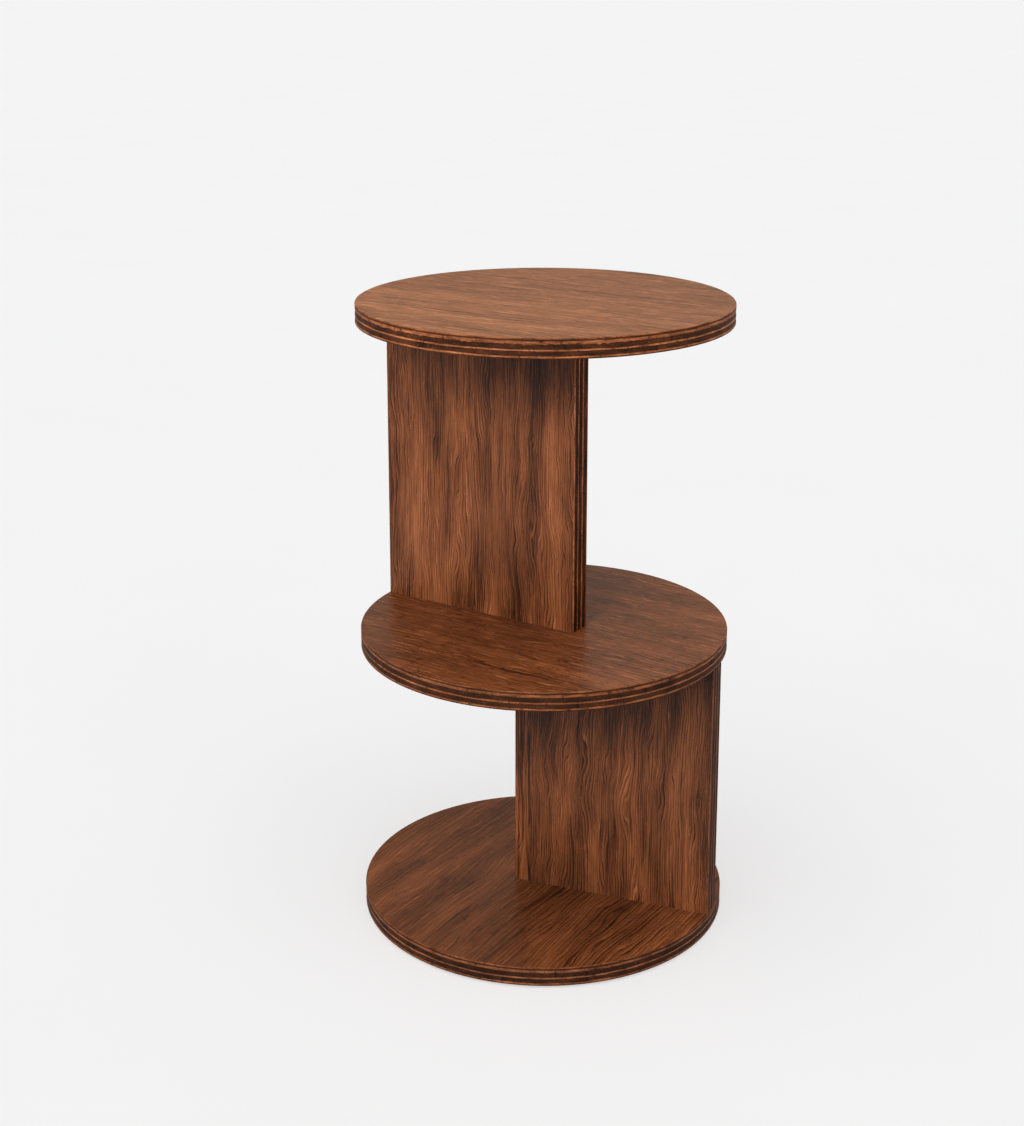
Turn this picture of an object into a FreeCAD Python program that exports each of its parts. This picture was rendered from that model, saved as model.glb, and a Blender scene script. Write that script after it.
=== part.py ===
import FreeCAD, Part
import Sketcher
import math
import os

# Round side table.  Three equal plywood discs stand one above the other on two upright
# plywood panels.  +Z is up, the origin is on the floor on the common axis of the discs,
# and +X runs along the upper panel, from its outer end towards its inner end.
# The front of the table, where the panel faces are clean, is the -Y side.

V = FreeCAD.Vector
doc = FreeCAD.newDocument("round_side_table")

# ---------------------------------------------------------------- driving dimensions (mm, degrees)
ROWS = [
    ("disc_radius", 175.0, "radius of the three discs"),
    ("disc_thick", 18.0, "plywood thickness of the discs"),
    ("rim_round", 0.8, "rounding of the disc arrises"),
    ("total_height", 600.0, "floor to top surface"),
    ("shelf_top", 286.0, "floor to the upper face of the middle disc"),
    ("felt_thick", 2.0, "thickness of the felt pads"),
    ("felt_dia", 25.0, "diameter of a felt pad"),
    ("felt_ring", 148.0, "radius on which the pads sit"),
    ("felt_count", 4, "number of pads"),
    ("panel_thick", 24.0, "plywood thickness of the panels"),
    ("panel_round", 0.6, "rounding of the upright panel arrises"),
    ("panel_reach", 174.4, "radius of the rim-following panel end"),
    ("upper_inner", 40.0, "upper panel: square end, past the axis"),
    ("lower_inner", -22.5, "lower panel: square end, short of the axis"),
    ("upper_offset", 0.0, "upper panel: mid-plane to the axis"),
    ("lower_offset", -6.0, "lower panel: mid-plane to the axis"),
    ("lower_turn", 11.7, "lower panel: turned from the upper one"),
    ("dowel_dia", 8.0, "dowel hole diameter"),
    ("dowel_play", 0.05, "radial play of a dowel in its hole"),
    ("dowel_in_disc", 10.0, "dowel length in the disc"),
    ("dowel_in_panel", 20.0, "dowel length in the panel"),
    ("dowel_chamfer", 1.0, "chamfer at the ends of a dowel"),
    ("bore_spare", 0.5, "spare depth of every blind bore"),
    ("bolt_crest", 6.8, "cam bolt: diameter over the thread"),
    ("bolt_root", 5.0, "cam bolt: root diameter"),
    ("bolt_pitch", 2.2, "cam bolt: thread pitch"),
    ("bolt_bore", 7.0, "thread bore in the disc"),
    ("bolt_in_disc", 11.0, "cam bolt: length in the disc"),
    ("bolt_shank", 5.6, "cam bolt: shank diameter"),
    ("bolt_shank_end", 24.0, "cam bolt: end of the shank above the disc"),
    ("bolt_neck", 4.0, "cam bolt: neck diameter"),
    ("bolt_head", 7.0, "cam bolt: head diameter"),
    ("bolt_head_low", 29.3, "cam bolt: underside of the head above the disc"),
    ("bolt_head_high", 32.1, "cam bolt: end of the head above the disc"),
    ("shank_bore", 8.0, "bolt bore in the panel"),
    ("cam_reach", 34.0, "cam axis to the end of the panel"),
    ("cam_bore", 15.0, "cam bore diameter"),
    ("cam_bore_deep", 16.5, "cam bore depth from the back of the panel"),
    ("cam_dia", 14.8, "cam diameter"),
    ("cam_length", 15.6, "cam length"),
    ("cam_sunk", 0.4, "cam face below the back of the panel"),
    ("cam_edge", 0.4, "chamfer of the cam"),
    ("cam_core", 2.8, "diameter of the core left in the cam slot"),
    ("cam_slot_dia", 11.2, "outer diameter of the head slot"),
    ("cam_slot_wide", 7.6, "width of the head slot"),
    ("cam_gate_wide", 4.8, "width of the neck slot"),
    ("cam_slot_sweep", 150.0, "sweep of the slots round the cam"),
    ("cross_long", 8.6, "screwdriver cross: length"),
    ("cross_wide", 1.8, "screwdriver cross: width"),
    ("cross_deep", 3.0, "screwdriver cross: depth"),
    ("cam_hole", 4.0, "hole in the middle of the cross"),
    ("cap_dia", 17.6, "cover cap diameter"),
    ("cap_thick", 1.4, "cover cap thickness"),
    ("cap_edge", 0.5, "bevel of the cover cap"),
    ("cap_pin", 3.6, "diameter of the pin behind the cap"),
    ("cap_pin_long", 2.8, "length of that pin"),
    ("upper_dowel_out", -156.0, "upper panel: outer dowel"),
    ("upper_bolt_out", -128.0, "upper panel: outer cam bolt"),
    ("upper_bolt_in", 3.0, "upper panel: inner cam bolt"),
    ("upper_dowel_in", 29.0, "upper panel: inner dowel"),
    ("lower_dowel_in", -11.5, "lower panel: inner dowel"),
    ("lower_bolt_in", 17.0, "lower panel: inner cam bolt"),
    ("lower_bolt_out", 128.0, "lower panel: outer cam bolt"),
    ("lower_dowel_out", 156.0, "lower panel: outer dowel"),
]
sheet = doc.addObject("Spreadsheet::Sheet", "dims")
for row, (alias, value, note) in enumerate(ROWS, start=1):
    sheet.set("A%d" % row, alias)
    sheet.set("B%d" % row, str(value))
    sheet.set("C%d" % row, note)
    sheet.setAlias("B%d" % row, alias)
doc.recompute()


# A length that knows its value and the cell formula it comes from.
class Q:
    def __init__(self, value, text):
        self.value = float(value)
        self.text = text

    def __add__(self, other):
        other = q(other)
        return Q(self.value + other.value, "(%s + %s)" % (self.text, other.text))

    def __sub__(self, other):
        other = q(other)
        return Q(self.value - other.value, "(%s - %s)" % (self.text, other.text))

    def __mul__(self, other):
        other = q(other)
        return Q(self.value * other.value, "(%s * %s)" % (self.text, other.text))

    def __truediv__(self, other):
        other = q(other)
        return Q(self.value / other.value, "(%s / %s)" % (self.text, other.text))

    def __neg__(self):
        return Q(-self.value, "(0 - %s)" % self.text)


def q(thing):
    if isinstance(thing, Q):
        return thing
    if isinstance(thing, str):
        return Q(sheet.get(thing), "dims.%s" % thing)
    return Q(thing, repr(float(thing)))


def cosine(angle):
    return Q(math.cos(math.radians(angle.value)), "cos(%s * 1 deg)" % angle.text)


def sine(angle):
    return Q(math.sin(math.radians(angle.value)), "sin(%s * 1 deg)" % angle.text)


# ---------------------------------------------------------------- building helpers
PIECES = []


def new_body(label):
    body = doc.addObject("PartDesign::Body", label)
    body.Label = label
    PIECES.append(body)
    return body


def origin_of(body, role):
    for feature in body.Origin.OriginFeatures:
        if feature.Role == role:
            return feature
    raise RuntimeError("no " + role)


def new_sketch(body, name, role, lift=None, turn=None):
    sk = body.newObject("Sketcher::SketchObject", body.Name + "_" + name)
    sk.AttachmentSupport = [(origin_of(body, role), "")]
    sk.MapMode = "FlatFace"
    if turn is not None:
        sk.AttachmentOffset = FreeCAD.Placement(V(0, 0, 0), FreeCAD.Rotation(V(0, 0, 1), turn.value))
        sk.setExpression("AttachmentOffset.Rotation.Angle", turn.text)
    if lift is not None:
        sk.setExpression("AttachmentOffset.Base.z", lift.text)
    return sk


def drive(sk, kind, first, second, size):
    # a horizontal or vertical distance from one point to another, bound to its formula
    n = sk.addConstraint(Sketcher.Constraint(kind, first[0], first[1], second[0], second[1], size.value))
    sk.setExpression("Constraints[%d]" % n, size.text)


def pin_point(sk, geo, pos, x, y):
    # holds a point at (x, y) from the sketch origin
    if abs(x.value) < 1e-9:
        sk.addConstraint(Sketcher.Constraint("PointOnObject", geo, pos, -2))
    else:
        drive(sk, "DistanceX", (-1, 1), (geo, pos), x)
    if abs(y.value) < 1e-9:
        sk.addConstraint(Sketcher.Constraint("PointOnObject", geo, pos, -1))
    else:
        drive(sk, "DistanceY", (-1, 1), (geo, pos), y)


def add_circle(sk, x, y, diameter):
    g = sk.addGeometry(Part.Circle(V(x.value, y.value, 0), V(0, 0, 1), diameter.value / 2), False)
    n = sk.addConstraint(Sketcher.Constraint("Diameter", g, diameter.value))
    sk.setExpression("Constraints[%d]" % n, diameter.text)
    pin_point(sk, g, 3, x, y)


def add_polygon(sk, points):
    points = [(q(x), q(y)) for x, y in points]
    first = None
    count = len(points)
    for i in range(count):
        ax, ay = points[i]
        bx, by = points[(i + 1) % count]
        g = sk.addGeometry(Part.LineSegment(V(ax.value, ay.value, 0), V(bx.value, by.value, 0)), False)
        if first is None:
            first = g
    for i in range(count):
        sk.addConstraint(Sketcher.Constraint("Coincident", first + i, 2, first + (i + 1) % count, 1))
    for i in range(count):
        pin_point(sk, first + i, 1, points[i][0], points[i][1])


def volume(body):
    doc.recompute()
    return body.Shape.Volume


def pad(body, name, sk, length):
    feature = body.newObject("PartDesign::Pad", body.Name + "_" + name)
    feature.Profile = sk
    feature.Length = length.value
    feature.setExpression("Length", length.text)
    doc.recompute()
    return feature


def pocket(body, name, sk, depth, reverse):
    before = volume(body)
    feature = body.newObject("PartDesign::Pocket", body.Name + "_" + name)
    feature.Profile = sk
    feature.Type = 0
    feature.Length = depth.value
    feature.setExpression("Length", depth.text)
    feature.Reversed = reverse
    after = volume(body)
    if not after < before - 1.0:
        raise RuntimeError("%s %s cuts nothing: %.3f -> %.3f" % (body.Label, name, before, after))
    return feature


def revolve(body, name, sk, axis, kind="PartDesign::Revolution", angle=None):
    before = volume(body) if kind.endswith("Groove") else 0.0
    feature = body.newObject(kind, body.Name + "_" + name)
    feature.Profile = sk
    feature.ReferenceAxis = (sk, [axis])
    if angle is None:
        feature.Angle = 360.0
    else:
        feature.Midplane = True
        feature.Angle = angle.value
        feature.setExpression("Angle", angle.text)
    after = volume(body)
    if kind.endswith("Groove") and not after < before - 1.0:
        raise RuntimeError("%s %s cuts nothing" % (body.Label, name))
    return feature


def repeat_along_x(body, originals, spacing):
    one = volume(body)
    feature = body.newObject("PartDesign::LinearPattern", body.Name + "_pair")
    feature.Originals = originals
    feature.Direction = (origin_of(body, "X_Axis"), [""])
    feature.Length = spacing.value
    feature.setExpression("Length", spacing.text)
    feature.Occurrences = 2
    body.Tip = feature
    two = volume(body)
    if abs(two - 2.0 * one) > 0.01 * one or len(body.Shape.Solids) != 2:
        raise RuntimeError("%s is not a pair" % body.Label)


def round_edges(body, name, radius, wanted):
    doc.recompute()
    tip = body.Tip
    names = ["Edge%d" % (i + 1) for i, e in enumerate(tip.Shape.Edges) if wanted(e)]
    feature = body.newObject("PartDesign::Fillet", body.Name + "_" + name)
    feature.Base = (tip, names)
    feature.Radius = radius.value
    feature.setExpression("Radius", radius.text)
    doc.recompute()
    return names


def place(body, x, y, z, turn=0.0, flipped=False):
    half = math.radians(turn) / 2
    if flipped:
        # half a turn about this axis puts +X against the panel's direction and keeps +Y to its back
        rotation = FreeCAD.Rotation(V(-math.sin(half), math.cos(half), 0), 180.0)
    else:
        rotation = FreeCAD.Rotation(V(0, 0, 1), turn)
    x, y, z = q(x), q(y), q(z)
    body.Placement = FreeCAD.Placement(V(x.value, y.value, z.value), rotation)
    body.setExpression("Placement.Base.x", x.text)
    body.setExpression("Placement.Base.y", y.text)
    body.setExpression("Placement.Base.z", z.text)


# ---------------------------------------------------------------- heights
base_under = q("felt_thick")
base_top = q("felt_thick") + "disc_thick"
shelf_under = q("shelf_top") - "disc_thick"
shelf_upper = q("shelf_top")
top_under = q("total_height") - "disc_thick"
lower_height = shelf_under - base_top
upper_height = top_under - shelf_upper

# Where the joints stand along each panel, measured from the axis of the discs.
UPPER = {"turn": Q(0.0, "0.0"), "offset": q("upper_offset"),
         "dowels": (q("upper_dowel_out"), q("upper_dowel_in")),
         "bolts": (q("upper_bolt_out"), q("upper_bolt_in"))}
LOWER = {"turn": q("lower_turn"), "offset": q("lower_offset"),
         "dowels": (q("lower_dowel_in"), q("lower_dowel_out")),
         "bolts": (q("lower_bolt_in"), q("lower_bolt_out"))}


# ---------------------------------------------------------------- the discs
def drill_disc(body, tag, panel, from_top):
    # blind holes for the dowels and the cam bolts of one panel, in its own direction
    lift = q("disc_thick") if from_top else None
    turn = panel["turn"] if panel["turn"].value else None
    sk = new_sketch(body, tag + "_dowel_circles", "XY_Plane", lift, turn)
    for s in panel["dowels"]:
        add_circle(sk, s, panel["offset"], q("dowel_dia"))
    pocket(body, tag + "_dowel_holes", sk, q("dowel_in_disc") + "bore_spare", not from_top)
    sk = new_sketch(body, tag + "_bolt_circles", "XY_Plane", lift, turn)
    for s in panel["bolts"]:
        add_circle(sk, s, panel["offset"], q("bolt_bore"))
    pocket(body, tag + "_bolt_holes", sk, q("bolt_in_disc") + "bore_spare", not from_top)


def make_disc(label, height, below=None, above=None):
    body = new_body(label)
    sk = new_sketch(body, "outline", "XY_Plane")
    add_circle(sk, q(0.0), q(0.0), q("disc_radius") * 2)
    pad(body, "board", sk, q("disc_thick"))
    round_edges(body, "arrises", q("rim_round"),
                lambda e: e.Curve.TypeId == "Part::GeomCircle")
    if above is not None:
        drill_disc(body, "upper_side", above, True)
    if below is not None:
        drill_disc(body, "lower_side", below, False)
    place(body, 0.0, 0.0, height)
    return body


make_disc("base_disc", base_under, above=LOWER)
make_disc("middle_disc", shelf_under, below=LOWER, above=UPPER)
make_disc("top_disc", top_under, below=UPPER)


# ---------------------------------------------------------------- the upright panels
def make_panel(label, panel, square_end, outer_side, foot, height):
    # One end is cut square, the other follows the rims of the discs.
    body = new_body(label)
    front = panel["offset"] - q("panel_thick") / 2
    back = panel["offset"] + q("panel_thick") / 2
    reach = q("panel_reach")
    xf = outer_side * math.sqrt(reach.value ** 2 - front.value ** 2)
    xb = outer_side * math.sqrt(reach.value ** 2 - back.value ** 2)
    xs = square_end.value
    sk = new_sketch(body, "plan", "XY_Plane")
    line_front = sk.addGeometry(Part.LineSegment(V(xs, front.value, 0), V(xf, front.value, 0)), False)
    line_back = sk.addGeometry(Part.LineSegment(V(xb, back.value, 0), V(xs, back.value, 0)), False)
    line_end = sk.addGeometry(Part.LineSegment(V(xs, back.value, 0), V(xs, front.value, 0)), False)
    a_front = math.atan2(front.value, xf)
    a_back = math.atan2(back.value, xb)
    if outer_side > 0:
        start, stop, at_front, at_back = a_front, a_back, 1, 2
    else:
        start, stop, at_front, at_back = a_back % (2 * math.pi), a_front % (2 * math.pi), 2, 1
    circle = Part.Circle(V(0, 0, 0), V(0, 0, 1), reach.value)
    arc = sk.addGeometry(Part.ArcOfCircle(circle, start, stop), False)
    sk.addConstraint(Sketcher.Constraint("Coincident", arc, 3, -1, 1))
    sk.addConstraint(Sketcher.Constraint("Coincident", line_front, 2, arc, at_front))
    sk.addConstraint(Sketcher.Constraint("Coincident", line_back, 1, arc, at_back))
    sk.addConstraint(Sketcher.Constraint("Coincident", line_back, 2, line_end, 1))
    sk.addConstraint(Sketcher.Constraint("Coincident", line_end, 2, line_front, 1))
    sk.addConstraint(Sketcher.Constraint("Horizontal", line_front))
    sk.addConstraint(Sketcher.Constraint("Horizontal", line_back))
    sk.addConstraint(Sketcher.Constraint("Vertical", line_end))
    n = sk.addConstraint(Sketcher.Constraint("Radius", arc, reach.value))
    sk.setExpression("Constraints[%d]" % n, reach.text)
    drive(sk, "DistanceX", (-1, 1), (line_end, 2), square_end)
    drive(sk, "DistanceY", (-1, 1), (line_end, 2), front)
    drive(sk, "DistanceY", (-1, 1), (line_end, 1), back)
    pad(body, "board", sk, height)

    def upright(e):
        a, b = e.Vertexes[0].Point, e.Vertexes[-1].Point
        return math.hypot(a.x - b.x, a.y - b.y) < 1e-6 and abs(a.z - b.z) > 10.0

    names = round_edges(body, "arrises", q("panel_round"), upright)
    if len(names) != 4:
        raise RuntimeError("%s has %d upright arrises" % (label, len(names)))

    # cam bores, opened from the back face
    sk = new_sketch(body, "cam_circles", "XZ_Plane", -back)
    for s in panel["bolts"]:
        add_circle(sk, s, q("cam_reach"), q("cam_bore"))
        add_circle(sk, s, height - "cam_reach", q("cam_bore"))
    pocket(body, "cam_bores", sk, q("cam_bore_deep"), True)
    # bolt and dowel bores, opened from the two ends
    for tag, lift, reverse in (("foot", None, True), ("head", height, False)):
        sk = new_sketch(body, tag + "_bolt_circles", "XY_Plane", lift)
        for s in panel["bolts"]:
            add_circle(sk, s, panel["offset"], q("shank_bore"))
        pocket(body, tag + "_bolt_bores", sk, q("cam_reach"), reverse)
        sk = new_sketch(body, tag + "_dowel_circles", "XY_Plane", lift)
        for s in panel["dowels"]:
            add_circle(sk, s, panel["offset"], q("dowel_dia"))
        pocket(body, tag + "_dowel_bores", sk, q("dowel_in_panel") + "bore_spare", reverse)
    place(body, 0.0, 0.0, foot, panel["turn"].value)
    return body


make_panel("upper_panel", UPPER, q("upper_inner"), -1, shelf_upper, upper_height)
make_panel("lower_panel", LOWER, q("lower_inner"), 1, base_top, lower_height)


# ---------------------------------------------------------------- the blind joints
# Each joint holds one end of a panel to one disc: two dowels, two cam bolts screwed into the
# disc, two cam locks in the back of the panel and two cover caps.  A joint at the upper end
# of a panel is the same set turned over.
def group_place(body, panel, pair, drop, contact, flipped):
    # the first of the pair stands at the body's own origin, the second along its own +X
    s = pair[1] if flipped else pair[0]
    turn = panel["turn"]
    x = s * cosine(turn) - panel["offset"] * sine(turn)
    y = s * sine(turn) + panel["offset"] * cosine(turn)
    if drop is None:
        z = contact
    else:
        z = contact - drop if flipped else contact + drop
    place(body, x, y, z, turn.value, flipped)


def make_dowels(label, panel, contact, flipped):
    body = new_body(label)
    r = q("dowel_dia") / 2 - "dowel_play"
    low = -q("dowel_in_disc")
    high = q("dowel_in_panel")
    c = q("dowel_chamfer")
    sk = new_sketch(body, "profile", "XZ_Plane")
    add_polygon(sk, [(q(0.0), low), (r - c, low), (r, low + c), (r, high - c), (r - c, high), (q(0.0), high)])
    turned = revolve(body, "dowel", sk, "V_Axis")
    a, b = panel["dowels"]
    repeat_along_x(body, [turned], b - a)
    group_place(body, panel, panel["dowels"], None, contact, flipped)


def make_bolts(label, panel, contact, flipped):
    body = new_body(label)
    root = q("bolt_root") / 2
    crest = q("bolt_crest") / 2
    pitch = q("bolt_pitch")
    shank = q("bolt_shank") / 2
    neck = q("bolt_neck") / 2
    head = q("bolt_head") / 2
    low = -q("bolt_in_disc")
    points = [(q(0.0), low), (root, low)]
    for k in range(4):
        foot = low + pitch * (k + 0.35)
        points.append((root, foot))
        points.append((crest, foot + pitch * 0.45))
        points.append((root, foot + pitch * 0.6))
    points += [(root, q(-0.9)), (shank, q(-0.9)),
               (shank, q("bolt_shank_end") - 0.6), (neck, q("bolt_shank_end")),
               (neck, q("bolt_head_low")), (head, q("bolt_head_low") + 0.3),
               (head, q("bolt_head_high") - 0.6), (head - 0.8, q("bolt_head_high")),
               (q(0.0), q("bolt_head_high"))]
    sk = new_sketch(body, "profile", "XZ_Plane")
    add_polygon(sk, points)
    turned = revolve(body, "bolt", sk, "V_Axis")
    a, b = panel["bolts"]
    repeat_along_x(body, [turned], b - a)
    group_place(body, panel, panel["bolts"], None, contact, flipped)


def make_cams(label, panel, contact, flipped):
    body = new_body(label)
    r = q("cam_dia") / 2
    face = q("panel_thick") / 2 - "cam_sunk"
    inner = face - "cam_length"
    c = q("cam_edge")
    sk = new_sketch(body, "profile", "YZ_Plane")
    add_polygon(sk, [(inner, q(0.0)), (face, q(0.0)), (face, r - c), (face - c, r), (inner + c, r), (inner, r - c)])
    drum = revolve(body, "drum", sk, "H_Axis")
    # curved slot that holds the head of the bolt, open towards the disc
    core = q("cam_core") / 2
    slot = q("cam_slot_dia") / 2
    wide = q("cam_slot_wide") / 2
    gate = q("cam_gate_wide") / 2
    out = r + 1.0
    sk = new_sketch(body, "slot_profile", "YZ_Plane")
    add_polygon(sk, [(-wide, -core), (wide, -core), (wide, -slot), (gate, -slot), (gate, -out),
                     (-gate, -out), (-gate, -slot), (-wide, -slot)])
    groove = revolve(body, "slot", sk, "H_Axis", "PartDesign::Groove", q("cam_slot_sweep"))
    # screwdriver cross
    a = q("cross_long") / 2
    b = q("cross_wide") / 2
    sk = new_sketch(body, "cross_outline", "XZ_Plane", -face)
    add_polygon(sk, [(a, -b), (a, b), (b, b), (b, a), (-b, a), (-b, b), (-a, b), (-a, -b),
                     (-b, -b), (-b, -a), (b, -a), (b, -b)])
    cross = pocket(body, "cross", sk, q("cross_deep"), True)
    sk = new_sketch(body, "hole_circle", "XZ_Plane", -face)
    add_circle(sk, q(0.0), q(0.0), q("cam_hole"))
    hole = pocket(body, "hole", sk, q("cross_deep") + 0.6, True)
    p, s = panel["bolts"]
    repeat_along_x(body, [drum, groove, cross, hole], s - p)
    group_place(body, panel, panel["bolts"], q("cam_reach"), contact, flipped)


def make_caps(label, panel, contact, flipped):
    body = new_body(label)
    r = q("cap_dia") / 2
    back = q("panel_thick") / 2
    face = back + "cap_thick"
    pin = q("cap_pin") / 2
    e = q("cap_edge")
    sk = new_sketch(body, "profile", "YZ_Plane")
    add_polygon(sk, [(back - "cap_pin_long", q(0.0)), (face, q(0.0)), (face, r - e - e), (face - e, r),
                     (back, r), (back, pin), (back - "cap_pin_long", pin)])
    cap = revolve(body, "cap", sk, "H_Axis")
    p, s = panel["bolts"]
    repeat_along_x(body, [cap], s - p)
    group_place(body, panel, panel["bolts"], q("cam_reach"), contact, flipped)


JOINTS = [("base_joint", LOWER, base_top, False),
          ("under_shelf_joint", LOWER, shelf_under, True),
          ("over_shelf_joint", UPPER, shelf_upper, False),
          ("top_joint", UPPER, top_under, True)]
for joint, panel, contact, flipped in JOINTS:
    make_dowels(joint + "_dowels", panel, contact, flipped)
    make_bolts(joint + "_cam_bolts", panel, contact, flipped)
    make_cams(joint + "_cam_locks", panel, contact, flipped)
    make_caps(joint + "_cover_caps", panel, contact, flipped)

# ---------------------------------------------------------------- felt pads under the base
felt = new_body("felt_pads")
sk = new_sketch(felt, "circle", "XY_Plane")
add_circle(sk, q("felt_ring"), q(0.0), q("felt_dia"))
first_pad = pad(felt, "pad", sk, q("felt_thick"))
ring = felt.newObject("PartDesign::PolarPattern", "felt_pads_ring")
ring.Originals = [first_pad]
ring.Axis = (origin_of(felt, "Z_Axis"), [""])
ring.Angle = 360.0
ring.Occurrences = int(q("felt_count").value)
felt.Tip = ring
place(felt, 0.0, 0.0, 0.0, 45.0)
doc.recompute()
if len(felt.Shape.Solids) != int(q("felt_count").value):
    raise RuntimeError("felt pads: %d solids" % len(felt.Shape.Solids))

# ---------------------------------------------------------------- check, then write
doc.recompute()
for thing in doc.Objects:
    if "Invalid" in thing.State or "Error" in thing.State:
        raise RuntimeError("%s: %s" % (thing.Name, thing.State))
for piece in PIECES:
    if piece.Shape.isNull() or not piece.Shape.isValid():
        raise RuntimeError("%s: bad shape" % piece.Label)
    if not piece.Shape.Solids:
        raise RuntimeError("%s: no solid" % piece.Label)

os.makedirs("parts", exist_ok=True)
for piece in PIECES:
    piece.Shape.exportStep("parts/%s.step" % piece.Label)
    box = piece.Shape.optimalBoundingBox()
    print("%-32s %d solid(s)  %9.1f mm3  x %7.2f..%7.2f  y %7.2f..%7.2f  z %7.2f..%7.2f" % (
        piece.Label, len(piece.Shape.Solids), piece.Shape.Volume,
        box.XMin, box.XMax, box.YMin, box.YMax, box.ZMin, box.ZMax))
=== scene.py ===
import math

import bmesh
import bpy
import numpy as np
from mathutils import Euler, Matrix, Vector, noise


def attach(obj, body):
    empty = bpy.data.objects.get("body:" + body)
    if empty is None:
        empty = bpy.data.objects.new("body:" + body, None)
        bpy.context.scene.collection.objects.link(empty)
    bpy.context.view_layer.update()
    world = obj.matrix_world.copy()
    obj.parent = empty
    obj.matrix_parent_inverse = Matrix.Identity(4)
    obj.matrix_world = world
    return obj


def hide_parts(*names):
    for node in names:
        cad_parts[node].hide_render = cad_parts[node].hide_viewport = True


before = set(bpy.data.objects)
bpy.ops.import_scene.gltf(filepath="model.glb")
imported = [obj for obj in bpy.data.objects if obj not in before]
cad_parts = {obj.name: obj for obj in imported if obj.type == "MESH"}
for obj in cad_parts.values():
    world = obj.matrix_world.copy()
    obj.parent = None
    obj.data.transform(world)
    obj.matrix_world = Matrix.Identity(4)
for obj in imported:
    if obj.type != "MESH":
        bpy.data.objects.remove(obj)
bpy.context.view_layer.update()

MM = 0.001

# ------------------------------------------------------------------ sizes, in millimetres, as in the CAD model
DISC_R = 175.0
DISC_T = 18.0
PANEL_T = 24.0
PANEL_R = 174.4
TURN = math.radians(11.7)          # the lower panel's direction, from the upper one's
BASE_Z, SHELF_Z, TOP_Z = 2.0, 268.0, 582.0   # undersides of the three discs
UPPER = dict(turn=0.0, offset=0.0, square=40.0, side=-1, dowels=(-156.0, 29.0), bolts=(-128.0, 3.0))
LOWER = dict(turn=TURN, offset=-6.0, square=-22.5, side=1, dowels=(-11.5, 156.0), bolts=(17.0, 128.0))

# Edge of the plywood, from the good face to the other one: depth in mm where each ply ends, how
# light it is, and how far it stands back from the outermost ply.
DISC_PLIES = [(0.90, 0.78, 0.00), (2.60, 0.20, 0.24), (5.00, 0.84, 0.03), (9.60, 0.07, 0.30), (11.05, 0.98, 0.04),
              (15.40, 0.10, 0.28), (16.90, 0.92, 0.03), (18.0, 0.10, 0.05)]
PANEL_PLIES = [(1.7, 0.86, 0.00), (6.9, 0.02, 0.34), (8.8, 0.80, 0.04), (14.0, 0.00, 0.36), (16.4, 0.85, 0.04),
               (21.9, 0.03, 0.34), (24.0, 0.60, 0.02)]


# ------------------------------------------------------------------ camera, at the photograph's viewing angle
def make_camera():
    turn = math.radians(31.8)      # the photograph's line of sight is this far round from the table's front
    pitch, yaw = 0.2363, -0.0183
    focal_px, centre_y = 1842.4, 393.0
    stand, height = 1.6687, 0.9132
    data = bpy.data.cameras.new("photo_view")
    cam = bpy.data.objects.new("photo_view", data)
    bpy.context.scene.collection.objects.link(cam)
    rot = Matrix.Rotation(turn, 3, "Z")
    forward = rot @ Vector((math.sin(yaw) * math.cos(pitch), math.cos(yaw) * math.cos(pitch), -math.sin(pitch)))
    right = rot @ Vector((math.cos(yaw), -math.sin(yaw), 0.0))
    up = right.cross(forward)
    m = Matrix((right, up, -forward)).transposed().to_4x4()
    m.translation = rot @ Vector((0.0, -stand, height))
    cam.matrix_world = m
    data.sensor_fit = "AUTO"
    data.sensor_width = 36.0
    data.lens = focal_px * 36.0 / 1126.0
    data.shift_x = 0.0
    data.shift_y = (centre_y - 563.0) / 1126.0
    data.clip_start, data.clip_end = 0.05, 60.0
    data.dof.use_dof = False
    bpy.context.scene.camera = cam
    return cam


camera = make_camera()


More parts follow.
